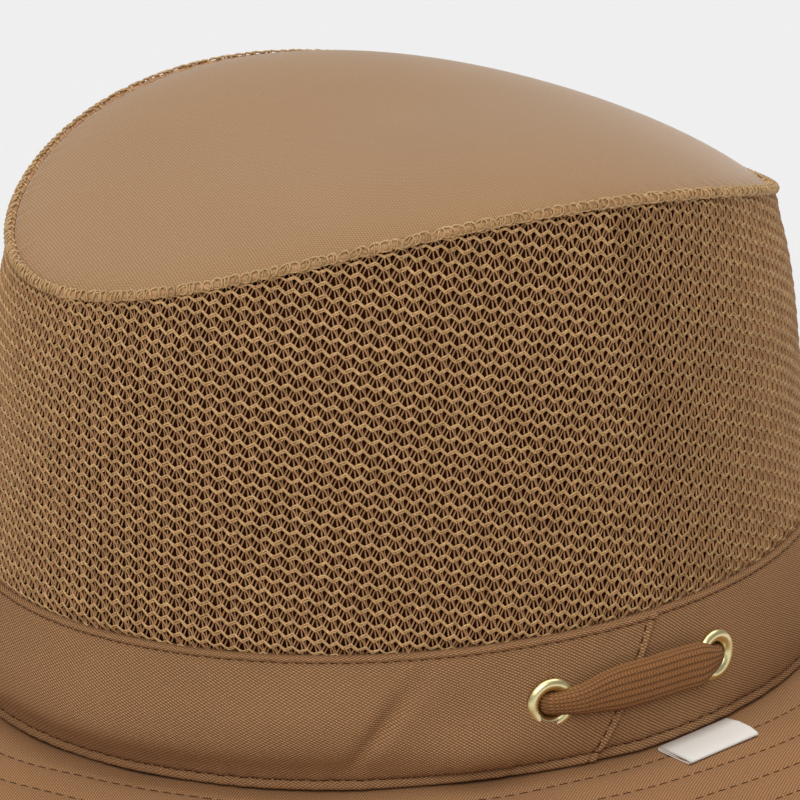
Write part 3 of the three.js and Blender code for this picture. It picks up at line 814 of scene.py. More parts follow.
make_run("cord_front_run", -EYELET_TURN, cord_route(FRONT_SIDE, FRONT_FLOOR), 180 + EYELET_TURN)
make_run("cord_back_run", EYELET_TURN, cord_route(BACK_SIDE, BACK_FLOOR), 180 - EYELET_TURN)

BRIDGE_LIFTS = table("share lift rise", [
    (0.05, 1.3, 0.2), (0.13, 2.5, 0.5), (0.28, 2.4, 0.9), (0.5, 2.4, 0.9), (0.74, 2.4, 0.8),
    (0.88, 2.6, 0.5), (0.955, 1.4, 0.2),
])
CORD_IN_HOLE = 2.4
BRIDGE_WIDTH = 10.4
BRIDGE_RELIEF = 0.28


def straight_through(turn):
    inside = eyelet_depth(turn) + BACK_ROLL + GAP
    outs = [-inside, -inside / 2, -0.2]
    return [eyelet_seat(turn) + outward(turn) * out for out in outs]


def make_bridge(name, first_turn, second_turn, around, step):
    """The braid is squeezed round where it passes an eyelet, and lies flat on the band between them."""
    start_seat = eyelet_seat(first_turn)
    end_seat = eyelet_seat(second_turn)
    middle_turn = (first_turn + second_turn) / 2
    middle_out = outward(middle_turn)
    band_rise = float(np.dot(eyelet_seat(middle_turn) - (start_seat + end_seat) / 2, middle_out))
    between = []
    for row in BRIDGE_LIFTS:
        bow = 4 * row["share"] * (1 - row["share"])
        chord = start_seat + (end_seat - start_seat) * row["share"]
        between.append(chord + middle_out * (band_rise * bow + row["lift"]) + [0, 0, row["rise"]])
    points = straight_through(first_turn) + between + straight_through(second_turn)[::-1]
    line = curve_through(points, step)
    reach = along_line(line)
    share = reach / reach[-1]
    spread = smooth_step(share, 0.09, 0.42) * smooth_step(1 - share, 0.09, 0.24)
    widths = 2 * CORD_IN_HOLE + (BRIDGE_WIDTH - 2 * CORD_IN_HOLE) * spread
    thicknesses = 2 * CORD_IN_HOLE + (CORD_THICKNESS - 2 * CORD_IN_HOLE) * smooth_step(spread, 0, 0.6)
    upright = np.broadcast_to([0.0, 0.0, 1.0], line.shape)
    piece = braid_tube(name, line, upright, widths, thicknesses, around, BRIDGE_RELIEF)
    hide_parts(name)


make_bridge("cord_bridge_left", -EYELET_TURN, EYELET_TURN, 88, 0.24)
make_bridge("cord_bridge_right", 180 - EYELET_TURN, 180 + EYELET_TURN, 60, 0.42)


# Eyelets

EYELET_SIDES = 56
EYELET_MOUTH = 2.85
EYELET_PROFILE = table("radius height", [
    (0.0, -0.60), (0.02, -0.10), (0.07, 0.28), (0.16, 0.58), (0.28, 0.80), (0.42, 0.94), (0.57, 1.0),
    (0.72, 0.94), (0.86, 0.74), (0.96, 0.42), (1.0, 0.0),
])


def lathe(profile, place, axis):
    """Turns a closed profile of (radius, height) round an axis."""
    start = unit(np.cross(axis, [0.0, 0.0, 1.0]))
    other = np.cross(axis, start)
    angles = np.arange(EYELET_SIDES) * 2 * math.pi / EYELET_SIDES
    radial = start * np.cos(angles)[:, None] + other * np.sin(angles)[:, None]
    rows = [place + radial * radius + axis * height for radius, height in profile]
    return np.stack(rows, 1)


def make_eyelet(name, turn):
    depth = eyelet_depth(turn)
    outer = [
        (EYELET_MOUTH + (FLANGE_RADIUS - EYELET_MOUTH) * row["radius"], EYELET_RISE * row["height"])
        for row in EYELET_PROFILE
    ]
    inner = [
        (BARREL_RADIUS, 0.0),
        (BARREL_RADIUS, -depth),
        (BACK_RADIUS, -depth),
        (BACK_RADIUS - 0.1, -depth - BACK_ROLL * 0.7),
        (BACK_RADIUS - 0.5, -depth - BACK_ROLL),
        (HOLE_RADIUS + 0.5, -depth - BACK_ROLL),
        (HOLE_RADIUS, -depth - BACK_ROLL * 0.6),
    ]
    points = lathe(outer + inner, eyelet_seat(turn), outward(turn))
    rows = points.shape[1]
    faces = grid_faces(EYELET_SIDES, rows, True, True)
    piece = make_piece(name + "_brass", points.reshape(-1, 3), [faces], BRASS)
    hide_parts(name)


for eyelet_name, eyelet_turn in EYELETS.items():
    make_eyelet(eyelet_name, eyelet_turn)


# Stitches: short dashes of thread, sunk a little into the cloth

DASH_RINGS = table("along radius", [
    (-0.5, 0.45), (-0.32, 1.0), (0.32, 1.0), (0.5, 0.45),
])
DASH_SIDES = 4


def make_stitches(name, centres, directions, normals, length, width, sink):
    offsets = column_of(DASH_RINGS, "along")
    sizes = column_of(DASH_RINGS, "radius") * width / 2
    dip = sink * (2 * np.abs(offsets)) ** 3
    paths = centres[:, None] + directions[:, None] * (offsets[:, None] * length)
    paths = paths - normals[:, None] * (dip[:, None] + sink * 0.3)
    radii = np.broadcast_to(sizes, paths.shape[:2])
    rings = tube_rings(paths, np.broadcast_to(normals[:, None], paths.shape), radii, DASH_SIDES)
    faces = tube_faces(len(DASH_RINGS), DASH_SIDES, len(centres))
    make_piece(name, rings.reshape(-1, 3), faces, STITCH_THREAD)


def spaced_places(points, pitch):
    """Even places along a closed line of points, and their directions."""
    closed = np.concatenate([points, points[:1]])
    reach = along_line(closed)
    count = int(round(reach[-1] / pitch))
    marks = (np.arange(count) + 0.5) * reach[-1] / count
    centres = places_at(marks, reach, closed)
    ahead = places_at(marks + 0.2, reach, closed)
    return centres, unit(ahead - centres)


# Band

BAND_COLUMNS = 720
BAND_LEVELS = [
    0.0, 0.008, 0.02, 0.035, 0.052, 0.066, 0.073, 0.08, 0.088, 0.1, 0.125, 0.16, 0.2, 0.25, 0.3, 0.36, 0.42,
    0.48, 0.54, 0.6, 0.66, 0.72, 0.78, 0.83, 0.87, 0.9, 0.925, 0.94, 0.952, 0.962, 0.974, 0.985, 0.995, 1.0,
]
BAND_INNER = [1.0, 0.97, 0.7, 0.35, 0.03, 0.0]
LOW_EDGE_PULL = [1.2, 0.45]
HIGH_EDGE_PULL = [0.35, 0.9]
PUCKER_SEED = 7
random = np.random.default_rng(PUCKER_SEED)


def waver(turn, count, fastest):
    """A smooth random wave round the crown, about from -1 to 1."""
    speeds = random.integers(max(fastest // 3, 1), fastest + 1, count)
    phases = random.uniform(0, 2 * math.pi, count)
    waves = np.sin(np.radians(turn)[..., None] * speeds + phases)
    return waves.sum(-1) / math.sqrt(count)


even_turns = (np.arange(BAND_COLUMNS) + 0.5) * 360 / BAND_COLUMNS - 180
lap_turns = np.arange(-NEAR_LAP, NEAR_LAP + 0.1, FOLD_WIDTH)
band_turns = np.sort(np.concatenate([even_turns[np.abs(even_turns) > NEAR_LAP], lap_turns]))
LOW_STITCHES = 232
HIGH_STITCHES = 236
LAP_STITCH_OFFSET = -1.05
LAP_RIDGE = {"past_fold": -0.5, "width": 0.42, "height": 0.55}

# The belly: its heights, and where it rises and sinks by turn and by share of the band's height
BELLY = 3.1
SIDE_BELLY = 0.9
BELLY_STARTS = (-140, -105)
BELLY_ENDS = (-46, -27)
BELLY_RISES = (0.12, 0.37)
BELLY_SINKS = (0.45, 1.0)
SIDE_BELLY_STARTS = (19, 38)
CREASE = {"turn": -34.0, "level": 0.5, "lean": 14.0, "width": 1.25, "height": 0.24, "depth": 2.4}
LIP_HEIGHT = 0.42

# How far the band's lower edge stands out past its loop, or is drawn in, round the hat
LIPS = table("turn out", [
    (-110, 0.0), (-95, -0.2), (-78, -0.3), (-62, 0.0), (-50, 0.5), (-38, 0.6), (-29, -0.2), (-18, -0.5),
    (-9, 0.5), (0, 1.9), (8, 1.3), (18, 0.5), (35, 0.2), (60, 0.0),
])

# How the stitches draw the cloth in: widths as shares of the band's height, depths in millimetres
LOW_PULL = {"width": 0.016, "depth": 0.5}
HIGH_PULL = {"width": 0.014, "depth": 0.3}
LAP_PULLS = table("past_fold width depth", [(LAP_STITCH_OFFSET, 0.28, 0.5), (0.35, 0.3, 0.35)])
LOW_PUCKERS = {"level": BAND_LOW_STITCH, "width": 0.09, "height": 0.16}
HIGH_PUCKERS = {"level": 0.93, "width": 0.06, "height": 0.10}
SLOW_WAVE_HEIGHT = 0.22


def column_turn(past_fold, level):
    lean = ridge(past_fold, 0, LEAN_SPREAD)
    return LAP_TURN + past_fold + lean * (fold_turn(level) - LAP_TURN)


low_pucker = waver(band_turns, count=9, fastest=150)
high_pucker = waver(band_turns, count=9, fastest=130)
slow_wave = waver(band_turns, count=5, fastest=14)


def band_belly(turn, level):
    """The cloth lies flat between the eyelets of each pair and stands out elsewhere, most at the front."""
    from_pair = np.abs((turn + 90) % 180 - 90)
    front = smooth_step(turn, *BELLY_STARTS) * (1 - smooth_step(turn, *BELLY_ENDS))
    height = smooth_step(level, *BELLY_RISES) * (1 - smooth_step(level, *BELLY_SINKS))
    return height * (SIDE_BELLY * smooth_step(from_pair, *SIDE_BELLY_STARTS) * (1 - front) + BELLY * front)


def pucker(past_fold, level, wave_heights, place):
    """A random wave along the band that is kept to the cloth beside a row of stitches."""
    beside = ridge(level, place["level"], place["width"])
    return np.interp(past_fold, band_turns, wave_heights) * beside * place["height"]


def band_outer(past_fold, level):
    """The band's outer face, drawn in at its stitches and puckered beside them."""
    turn = column_turn(past_fold, level)
    puff = band_puff(level)
    dent = dent_depth(BAND_DENTS, turn, level) * np.clip(puff, 0, 1)
    low = ridge(level, BAND_LOW_STITCH, LOW_PULL["width"])
    high = ridge(level, BAND_HIGH_STITCH, HIGH_PULL["width"])
    low_beat = 0.6 + 0.4 * np.cos(np.radians(past_fold) * LOW_STITCHES)
    high_beat = 0.6 + 0.4 * np.cos(np.radians(past_fold) * HIGH_STITCHES)
    waves = pucker(past_fold, level, low_pucker, LOW_PUCKERS)
    waves = waves + pucker(past_fold, level, high_pucker, HIGH_PUCKERS)
    waves = waves + np.interp(past_fold, band_turns, slow_wave) * SLOW_WAVE_HEIGHT * np.clip(puff, 0, 1)
    lap_line = 0
    for pull in LAP_PULLS:
        lap_line = lap_line + ridge(past_fold, pull["past_fold"], pull["width"]) * pull["depth"]
    lap_ridge = LAP_RIDGE["height"] * ridge(past_fold, LAP_RIDGE["past_fold"], LAP_RIDGE["width"])
    lap_ridge = lap_ridge * smooth_step(level, 0, 0.12)
    crease_turn = CREASE["turn"] + CREASE["lean"] * (level - CREASE["level"])
    crease_width = CREASE["width"] * (1 + 1.6 * np.clip(level - CREASE["level"], 0, 1))
    crease = ridge(turn, crease_turn, crease_width) * ridge(level, CREASE["level"], CREASE["height"])
    sag = table_value(turn, LIPS) * np.clip(1 - level / LIP_HEIGHT, 0, 1) ** 2
    offset = puff * BAND_PUFF - dent + lap_offset(past_fold) - low * low_beat * LOW_PULL["depth"]
    offset = offset - high * high_beat * HIGH_PULL["depth"] + waves - lap_line + lap_ridge
    offset = offset - CREASE["depth"] * crease + sag + band_belly(turn, level)
    return band_point(turn, level, offset)


def band_grid():
    past_fold = band_turns[:, None]
    level = np.array(BAND_LEVELS)[None]
    outer = band_outer(past_fold, level)
    edge_pull = np.array(LOW_EDGE_PULL + [0.0] * (len(BAND_LEVELS) - 4) + HIGH_EDGE_PULL)
    turns = column_turn(past_fold, level)
    outer = outer - outward(turns) * edge_pull[None, :, None]
    inner_level = np.array(BAND_INNER)[None]
    inner_turn = column_turn(past_fold, inner_level)
    inner = band_point(inner_turn, inner_level + 0 * past_fold, np.full(inner_turn.shape, -BAND_THICKNESS))
    return np.concatenate([outer, inner], 1)


CUTTER_ROOM = 0.25
CUTTER_CORE = 0.001
CUTTER_OUT = 6.0
CUTTER_IN = 8.0


def cut_eyelet_holes(piece):
    """Cuts round holes where the eyelets pass the band."""
    cutters = []
    profile = [
        (CUTTER_CORE, CUTTER_OUT),
        (CUTTER_CORE, -CUTTER_IN),
        (BARREL_RADIUS + CUTTER_ROOM, -CUTTER_IN),
        (BARREL_RADIUS + CUTTER_ROOM, CUTTER_OUT),
    ]
    for name, turn in EYELETS.items():
        points = lathe(profile, eyelet_seat(turn), outward(turn))
        faces = grid_faces(EYELET_SIDES, len(profile), True, True)
        cutter = make_piece("cutter_" + name, points.reshape(-1, 3), [faces], BRASS)
        cutters.append(cutter)
        cut = piece.modifiers.new("hole", "BOOLEAN")
        cut.operation = "DIFFERENCE"
        cut.solver = "EXACT"
        cut.object = cutter
    graph = bpy.context.evaluated_depsgraph_get()
    cut_mesh = bpy.data.meshes.new_from_object(piece.evaluated_get(graph))
    piece.modifiers.clear()
    piece.data = cut_mesh
    for cutter in cutters:
        bpy.data.objects.remove(cutter)


def make_band():
    points = band_grid()
    columns, rows = points.shape[:2]
    faces = grid_faces(columns, rows, True, True)
    around = np.concatenate([band_turns, [band_turns[0] + 360]])
    arc = np.interp(around, ARC_TURNS, ARC_LENGTHS)
    section = along_line(np.concatenate([points[0], points[0][:1]]))
    flat = np.stack(np.broadcast_arrays(arc[:, None], section[None]), -1)
    piece = make_piece("band", points.reshape(-1, 3), [faces], BAND_CLOTH, grid_corners(flat))
    cut_eyelet_holes(piece)
    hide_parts("hat_band")


# Arc lengths along the band's top edge, by turn
ARC_TURNS = np.arange(-540, 540.5, 0.5)
arc_points = band_loop(ARC_TURNS) - outward(ARC_TURNS) * BAND_DRAW_IN
ARC_LENGTHS = along_line(arc_points)
ARC_LENGTHS = ARC_LENGTHS - np.interp(0, ARC_TURNS, ARC_LENGTHS)

make_band()


def surface_stitches(name, past_folds, level, length, width, sink):
    levels = np.full(past_folds.shape, level)
    centres = band_outer(past_folds, levels)
    ahead = band_outer(past_folds + 0.05, levels)
    above = band_outer(past_folds, levels + 0.004)
    directions = unit(ahead - centres)
    normals = unit(np.cross(directions, above - centres))
    make_stitches(name, centres, directions, normals, length, width, sink)


low_folds = (np.arange(LOW_STITCHES) + 0.5) * 360 / LOW_STITCHES - 180
high_folds = (np.arange(HIGH_STITCHES) + 0.5) * 360 / HIGH_STITCHES - 180
surface_stitches("band_low_stitches", low_folds, BAND_LOW_STITCH, length=1.9, width=0.6, sink=0.3)
surface_stitches("band_high_stitches", high_folds, BAND_HIGH_STITCH, length=1.8, width=0.5, sink=0.25)


def make_lap_stitches():
    levels = np.linspace(0.14, 0.9, 11)
    folds = np.full(levels.shape, LAP_STITCH_OFFSET)
    centres = band_outer(folds, levels)
    above = band_outer(folds, levels + 0.01)
    beside = band_outer(folds + 0.2, levels)
    directions = unit(above - centres)
    normals = unit(np.cross(beside - centres, directions))
    make_stitches("band_lap_stitches", centres, directions, normals, 1.7, 0.45, 0.1)


make_lap_stitches()


# Brim

BRIM_COLUMNS = 480
BRIM_EDGE_STITCH = 2.6

# Rings in from the brim's edge: over the edge's stitches, round the edge and under it
BRIM_EDGE = table("mark rise", [
    (BRIM_EDGE_STITCH + 0.8, 0.05), (BRIM_EDGE_STITCH + 0.4, -0.05), (BRIM_EDGE_STITCH, -0.15),
    (BRIM_EDGE_STITCH - 0.4, -0.05), (1.5, 0.12), (0.6, 0.05), (0.15, -0.3),
])
BRIM_FOOT_RINGS = table("mark height", [
    (0.0, BRIM_THICKNESS * 0.5), (0.15, 0.3), (0.6, 0.02), (BRIM_FOOT, 0.02),
])
BRIM_UNDER = np.array([0.93, 0.84, 0.72, 0.6, 0.48, 0.36, 0.24, 0.12, 0.0])
BRIM_STITCH = {"pitch": 3.2, "length": 2.5, "width": 0.6, "sink": 0.14}


def brim_reach(turn):
    lengthwise = np.sin(np.radians(turn)) ** 2
    return BRIM_REACH_SIDE + (BRIM_REACH_FRONT - BRIM_REACH_SIDE) * lengthwise


def brim_top(turn, distance):
    reach = brim_reach(turn)
    drop = JOIN_HEIGHT - BRIM_THICKNESS
    steepening = (drop - BRIM_SLOPE * reach) / (reach * reach)
    point = band_loop(turn) + outward(turn) * np.asarray(distance)[..., None]
    beyond = np.maximum(distance, 0)
    point[..., 2] = JOIN_HEIGHT - BRIM_SLOPE * beyond - steepening * beyond * beyond
    return point


WAVE_TURNS = np.arange(-180, 181, 1.0)
brim_wave = waver(WAVE_TURNS, count=6, fastest=26)


def stitch_drift(turn, distance):
    """How far the rows of stitches run out from even rings, most near the band."""
    drift = table_value(past_back(turn), ROW_DRIFTS)
    return drift * np.exp(-distance / 30) * smooth_step(distance, 0, 6)


def quilt(turn, distance):
    """Height of the quilting: drawn in at each row of stitches and slightly raised between them."""
    height = np.interp(past_back(turn), WAVE_TURNS, brim_wave) * BRIM_WAVE_HEIGHT + 0 * distance
    for row_distance in BRIM_ROWS:
        height = height - ridge(distance, row_distance, QUILT_WIDTH) * BRIM_QUILT
    for inner, outer in zip(BRIM_ROWS[:-1], BRIM_ROWS[1:]):
        between = np.clip((distance - inner) / (outer - inner), 0, 1)
        height = height + np.sin(math.pi * between) ** 2 * QUILT_PUFF
    return height


def quilted_brim(turn, distance):
    """The brim's top at a distance told by its rows, which the stitches carry with them."""
    point = brim_top(turn, distance + stitch_drift(turn, distance))
    point[..., 2] += quilt(turn, distance)
    return point


def brim_distances(reach):
    marks = [-BAND_THICKNESS, -0.6, 0.6, 2.2, 4.0]
    for row_distance in BRIM_ROWS:
        marks += [row_distance + step for step in (-1.1, -0.55, 0.0, 0.55, 1.1, 2.8, 4.4, 6.0)]
    return [mark for mark in marks if mark < reach - BRIM_EDGE_STITCH - 1.0]


def make_brim():
    turn = np.arange(BRIM_COLUMNS) * 360 / BRIM_COLUMNS
    reach = brim_reach(turn)
    distances = np.array(brim_distances(BRIM_REACH_SIDE))
    top = quilted_brim(turn[:, None], distances[None] + 0 * turn[:, None])
    edge = []
    for row in BRIM_EDGE:
        ring = brim_top(turn, reach - row["mark"])
        ring[..., 2] += row["rise"]
        edge.append(ring)
    for row in BRIM_FOOT_RINGS:
        ring = brim_top(turn, reach - row["mark"])
        ring[..., 2] = row["height"]
        edge.append(ring)
    out_from_join = BRIM_UNDER[None] * (reach[:, None] - BRIM_FOOT) - BAND_THICKNESS * (BRIM_UNDER == 0)
    under = brim_top(turn[:, None], out_from_join)
    under[..., 2] -= BRIM_THICKNESS
    section = np.concatenate([top, np.stack(edge, 1), under], 1)[:, ::-1]
    faces = grid_faces(BRIM_COLUMNS, section.shape[1], True, True)
    corners = grid_corners(closed_grid(section)[..., :2])
    piece = make_piece("brim_quilted", section.reshape(-1, 3), [faces], BRIM_CLOTH, corners)
    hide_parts("brim")


def make_brim_stitches():
    turns = np.arange(0, 360, 0.5)
    rings = [quilted_brim(turns, np.full(turns.shape, row_distance)) for row_distance in BRIM_ROWS]
    edge_ring = brim_top(turns, brim_reach(turns) - BRIM_EDGE_STITCH)
    edge_ring[..., 2] -= 0.12
    spaced = [spaced_places(ring, BRIM_STITCH["pitch"]) for ring in rings + [edge_ring]]
    centres = np.concatenate([places for places, _ in spaced])
    directions = np.concatenate([ways for _, ways in spaced])
    upright = np.broadcast_to([0.0, 0.0, 1.0], centres.shape)
    normals = unit(upright - directions * np.sum(upright * directions, -1, keepdims=True))
    make_stitches(
        "brim_stitches", centres, directions, normals,
        BRIM_STITCH["length"], BRIM_STITCH["width"], BRIM_STITCH["sink"]
    )


make_brim()
make_brim_stitches()


# Tip

TIP_COLUMNS = 480
TIP_EDGE_INSET = 0.45
TUCK_HEIGHT = 0.14
HEM_OUT = 0.2
HEM_DROP = 1.6


def tip_surface(turn, share):
    edge = seam_point(turn) - outward(turn) * TIP_EDGE_INSET
    point = edge * share[..., None]
    saddle = SEAM_SADDLE * np.cos(2 * np.radians(turn)) * share * share
    dome = TIP_DOME * (1 - share**TIP_POWER) * (1 + TIP_BACK_FULLNESS * point[..., 1])
    puff = TIP_PUFF * (1 - share**TIP_PUFF_POWER)
    point[..., 2] = JOIN_HEIGHT + SEAM_HEIGHT + TIP_LIFT + SEAM_TILT * point[..., 1] + saddle + dome + puff
    return point


def make_tip():
    turn = (np.arange(TIP_COLUMNS) * 360 / TIP_COLUMNS)[:, None]
    shares = np.concatenate([np.linspace(0.02, 0.86, 26), np.linspace(0.875, 1, 14)])[::-1]
    outer = tip_surface(turn, shares[None] + 0 * turn)
    tucks = waver(turn[:, 0], count=10, fastest=190)[:, None]
    outer[..., 2] += tucks * smooth_step(shares, 0.93, 0.985)[None] * TUCK_HEIGHT
    inner_shares = np.array([0.02, 0.3, 0.6, 0.85, 0.97])[None] + 0 * turn
    normals = surface_normals(tip_surface, turn + 0 * inner_shares, inner_shares)
    inner = tip_surface(turn, inner_shares) + normals * TIP_THICKNESS
    hem = outer[:, :1] + outward(turn) * HEM_OUT - [0, 0, HEM_DROP]
    outer = np.concatenate([hem, outer], 1)
    section = np.concatenate([outer, inner], 1)
    rows = section.shape[1]
    outer_pole = outer.shape[1] - 1
    walls = grid_faces(TIP_COLUMNS, rows, True, True)
    keep = walls[:, 0] % rows != outer_pole
    cap_outer = (np.arange(TIP_COLUMNS) * rows + outer_pole)[None]
    cap_inner = (np.arange(TIP_COLUMNS)[::-1] * rows + outer_pole + 1)[None]
    points = section.reshape(-1, 3)
    wall_corners = grid_corners(closed_grid(section)[..., :2]).reshape(-1, 4, 2)[keep].reshape(-1, 2)
    corners = np.concatenate([wall_corners, points[cap_outer[0], :2], points[cap_inner[0], :2]])
    piece = make_piece("tip", points, [walls[keep], cap_outer, cap_inner], TIP_CLOTH, corners)
    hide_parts("crown_tip")


make_tip()


# Seam bead: a core with slanting loops of yarn whipped over it

def bead_frame(turn):
    centre = seam_point(turn) + outward(turn) * BEAD_OFFSET
    return centre, outward(turn)


BEAD_COLUMNS = 420
BEAD_SIDES = 10
LOOP_PITCH = 2.1
LOOP_LENGTH = 1.3
LOOP_HEIGHT = 1.15
LOOP_MIDDLE = 0.45
LOOP_YARN = 0.27
LOOP_STEPS = 13
LOOP_SIDES = 4
WHIP_STEPS = 7
WHIP_SIDES = 3


def on_bead(turns, angles, radius):
    """Places round the seam's roll: angle 0 faces outward and a right angle faces up."""
    centres, outs = bead_frame(turns)
    rise = np.array([0.0, 0.0, 1.0])
    away = outs * np.cos(angles)[..., None] + rise * np.sin(angles)[..., None]
    return centres + away * np.asarray(radius)[..., None], away


def make_seam_bead():
    turn = np.arange(BEAD_COLUMNS) * 360 / BEAD_COLUMNS
    angles = np.arange(BEAD_SIDES) * 2 * math.pi / BEAD_SIDES
    grid_turns, grid_angles = np.meshgrid(turn, angles, indexing="ij")
    points, _ = on_bead(grid_turns, grid_angles, np.full(grid_turns.shape, BEAD_RADIUS * 0.84))
    faces = grid_faces(BEAD_COLUMNS, BEAD_SIDES, True, True)
    piece = make_piece("seam_core", points.reshape(-1, 3), [faces], TIE_YARN)
    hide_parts("tip_seam")
    seam_line, _ = bead_frame(np.arange(0, 360, 0.25))
    reach = along_line(np.concatenate([seam_line, seam_line[:1]]))[-1]
    turn_for = 360 / reach
    count = int(reach / LOOP_PITCH)
    base = (np.arange(count) + random.uniform(-0.2, 0.2, count))[:, None] * 360 / count
    size = 1 + random.uniform(-0.18, 0.18, (count, 1))
    tilt = random.uniform(-1.0, 1.0, (count, 1))
    round_loop = np.linspace(0.3, 2 * math.pi + 0.9, LOOP_STEPS)[None]
    along = np.cos(round_loop) * LOOP_LENGTH * size + np.sin(round_loop) * tilt * 0.7
    angles = LOOP_MIDDLE + np.sin(round_loop) * LOOP_HEIGHT * size
    lift = BEAD_RADIUS * 1.02 + 0.3 * np.sin(round_loop + 0.8) * size
    paths, away = on_bead(base + along * turn_for, angles, lift + 0 * along)
    rings = tube_rings(paths, away, np.full(along.shape, LOOP_YARN), LOOP_SIDES)
    faces = tube_faces(LOOP_STEPS, LOOP_SIDES, count)
    loops = make_piece("seam_loops", rings.reshape(-1, 3), faces, SEAM_YARN)
    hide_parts("tip_seam")
    whip_count = int(count * 0.8)
    whip_base = (np.arange(whip_count) + random.uniform(-0.25, 0.25, whip_count))[:, None] * 360 / whip_count
    share = np.linspace(0, 1, WHIP_STEPS)[None]
    lean = random.uniform(-1.4, 2.4, (whip_count, 1))
    whip_along = (share - 0.5) * lean * 1.4
    whip_angles = -1.7 + share * 4.2 + 0 * lean
    whip_lift = BEAD_RADIUS * 0.92 + 0.16 * np.sin(share * math.pi) + 0 * lean
    paths, away = on_bead(whip_base + whip_along * turn_for, whip_angles, whip_lift)
    rings = tube_rings(paths, away, np.full(whip_along.shape, LOOP_YARN * 0.9), WHIP_SIDES)
    faces = tube_faces(WHIP_STEPS, WHIP_SIDES, whip_count)
    whips = make_piece("seam_whipping", rings.reshape(-1, 3), faces, ROW_YARN)
    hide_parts("tip_seam")


make_seam_bead()


# Knit: yarns laid on the flat pattern of the crown's side, which is a slice of a ring that is wrapped round.
# Its grain is level at the front, and its ends meet in a seam at the back.

PATTERN_RADIUS = 523.0
GRAIN_TURN = -84.6
CELL_WIDTH = 3.17
CELL_HEIGHT = 2.92
GRAIN_SHEAR = 0.064
HALF_ROUND = float(np.interp(180, ARC_TURNS, ARC_LENGTHS))
GRAIN_ARC = float(np.interp(GRAIN_TURN, ARC_TURNS, ARC_LENGTHS))


def slant_height(turn):
    one = np.ones(np.shape(turn))
    return np.linalg.norm(knit_surface(turn, one) - knit_surface(turn, 0.05 * one), axis=-1) / 0.95


SLANT_TURNS = np.arange(-540, 541, 2.0)
SLANT_HEIGHTS = slant_height(SLANT_TURNS)


def on_wall(across, up):
    """Finds the turn, the level and the arc from the grain's middle of places in the flat pattern."""
    x = across * CELL_WIDTH
    y = PATTERN_RADIUS - (up * CELL_HEIGHT - GRAIN_SHEAR * x)
    radius = np.hypot(x, y)
    arc = np.arctan2(x, y) * PATTERN_RADIUS
    turn = np.interp(arc + GRAIN_ARC, ARC_LENGTHS, ARC_TURNS)
    level = (PATTERN_RADIUS - radius) / np.interp(turn, SLANT_TURNS, SLANT_HEIGHTS)
    return turn, level, arc


# A yarn's places in a cell: across and up as shares of the cell, and its depth behind the wall's face
ROW_STRANDS = [
    table("across up depth", [
        (0.00, -0.02, 0.30), (0.24, 0.17, 0.16), (0.50, 0.37, 0.10), (0.76, 0.16, 0.12),
    ]),
    table("across up depth", [
        (0.02, -0.15, 0.22), (0.26, 0.02, 0.26), (0.52, 0.23, 0.30), (0.78, 0.04, 0.20),
    ]),
]
TIES = [
    {
        "name": "left_tie", "radius": 0.30,
        "path": table("across up depth", [
            (0.10, 1.03, 0.20), (0.17, 0.90, 0.02), (0.34, 0.62, 0.30), (0.49, 0.27, 0.22),
        ]),
    },
    {
        "name": "right_tie", "radius": 0.28,
        "path": table("across up depth", [
            (0.78, 1.02, 0.42), (0.66, 0.70, 0.34), (0.53, 0.33, 0.28),
        ]),
    },
    {
        "name": "middle_tie", "radius": 0.24,
        "path": table("across up depth", [
            (0.45, 1.24, 0.50), (0.38, 0.86, 0.66), (0.50, 0.40, 0.55),
        ]),
    },
    {
        "name": "left_under", "radius": 0.27,
        "path": table("across up depth", [
            (-0.03, 0.90, 0.56), (-0.26, 0.20, 0.50),
        ]),
    },
    {
        "name": "right_under", "radius": 0.27,
        "path": table("across up depth", [
            (0.05, 0.90, 0.60), (0.19, 0.20, 0.52),
        ]),
    },
]
ROW_RADIUS = 0.25
ROW_WOBBLE = 0.035
TIE_WOBBLE = 0.03

# The knit's two halves, by whether they are at the front. The far one has simpler yarns, to save faces.
SIDE_LABELS = {True: "front", False: "back"}
YARN_SIDES = {True: 4, False: 3}
TIE_SIDES = 3
FRONT_TIE = "middle_tie"
HIDDEN_BEHIND_BAND = 1.6
UNDER_SEAM = 3.2
BACK_OVERLAP = 0.6
BACK_STITCH_PITCH = 1.1
BACK_STITCH_REACH = 1.1
BACK_STITCH_RADIUS = 0.3
BACK_STITCH_STEPS = 5
BACK_STITCH_SIDES = 4
SHADE_SHEET_FACE = 1.1
SHADE_SHEET_BACK = 1.5
TUCK_LEVEL = 0.985
TUCK_DEPTH = 0.035

cells_across = np.arange(-int(HALF_ROUND / CELL_WIDTH) - 3, int(HALF_ROUND / CELL_WIDTH) + 4)
rows_up = np.arange(-14, 62)


def strand_points(across, up, depth):
    turn, level, arc = on_wall(across, up)
    height = np.interp(turn, SLANT_TURNS, SLANT_HEIGHTS)
    inside = (np.abs(arc) < HALF_ROUND + BACK_OVERLAP) & (level * height > -HIDDEN_BEHIND_BAND)
    inside &= (level - 1) * height < UNDER_SEAM
    past_tuck = np.maximum(level - TUCK_LEVEL, 0)
    tucked_level = TUCK_LEVEL + TUCK_DEPTH * (1 - np.exp(-past_tuck / TUCK_DEPTH))
    safe_level = np.clip(np.minimum(level, tucked_level), -0.05, 1.04)
    normals = surface_normals(knit_surface, turn, safe_level)
    points = knit_surface(turn, safe_level) - normals * depth[..., None]
    return points, normals, inside, turn


def keep_used(points, faces):
    """Drops the points that no face uses."""
    used = np.unique(faces)
    renumber = np.full(len(points), -1)
    renumber[used] = np.arange(len(used))
    return points[used], [renumber[faces]]


def is_front(turn):
    return (np.asarray(turn) + 360 - GRAIN_TURN + 90) % 360 < 180


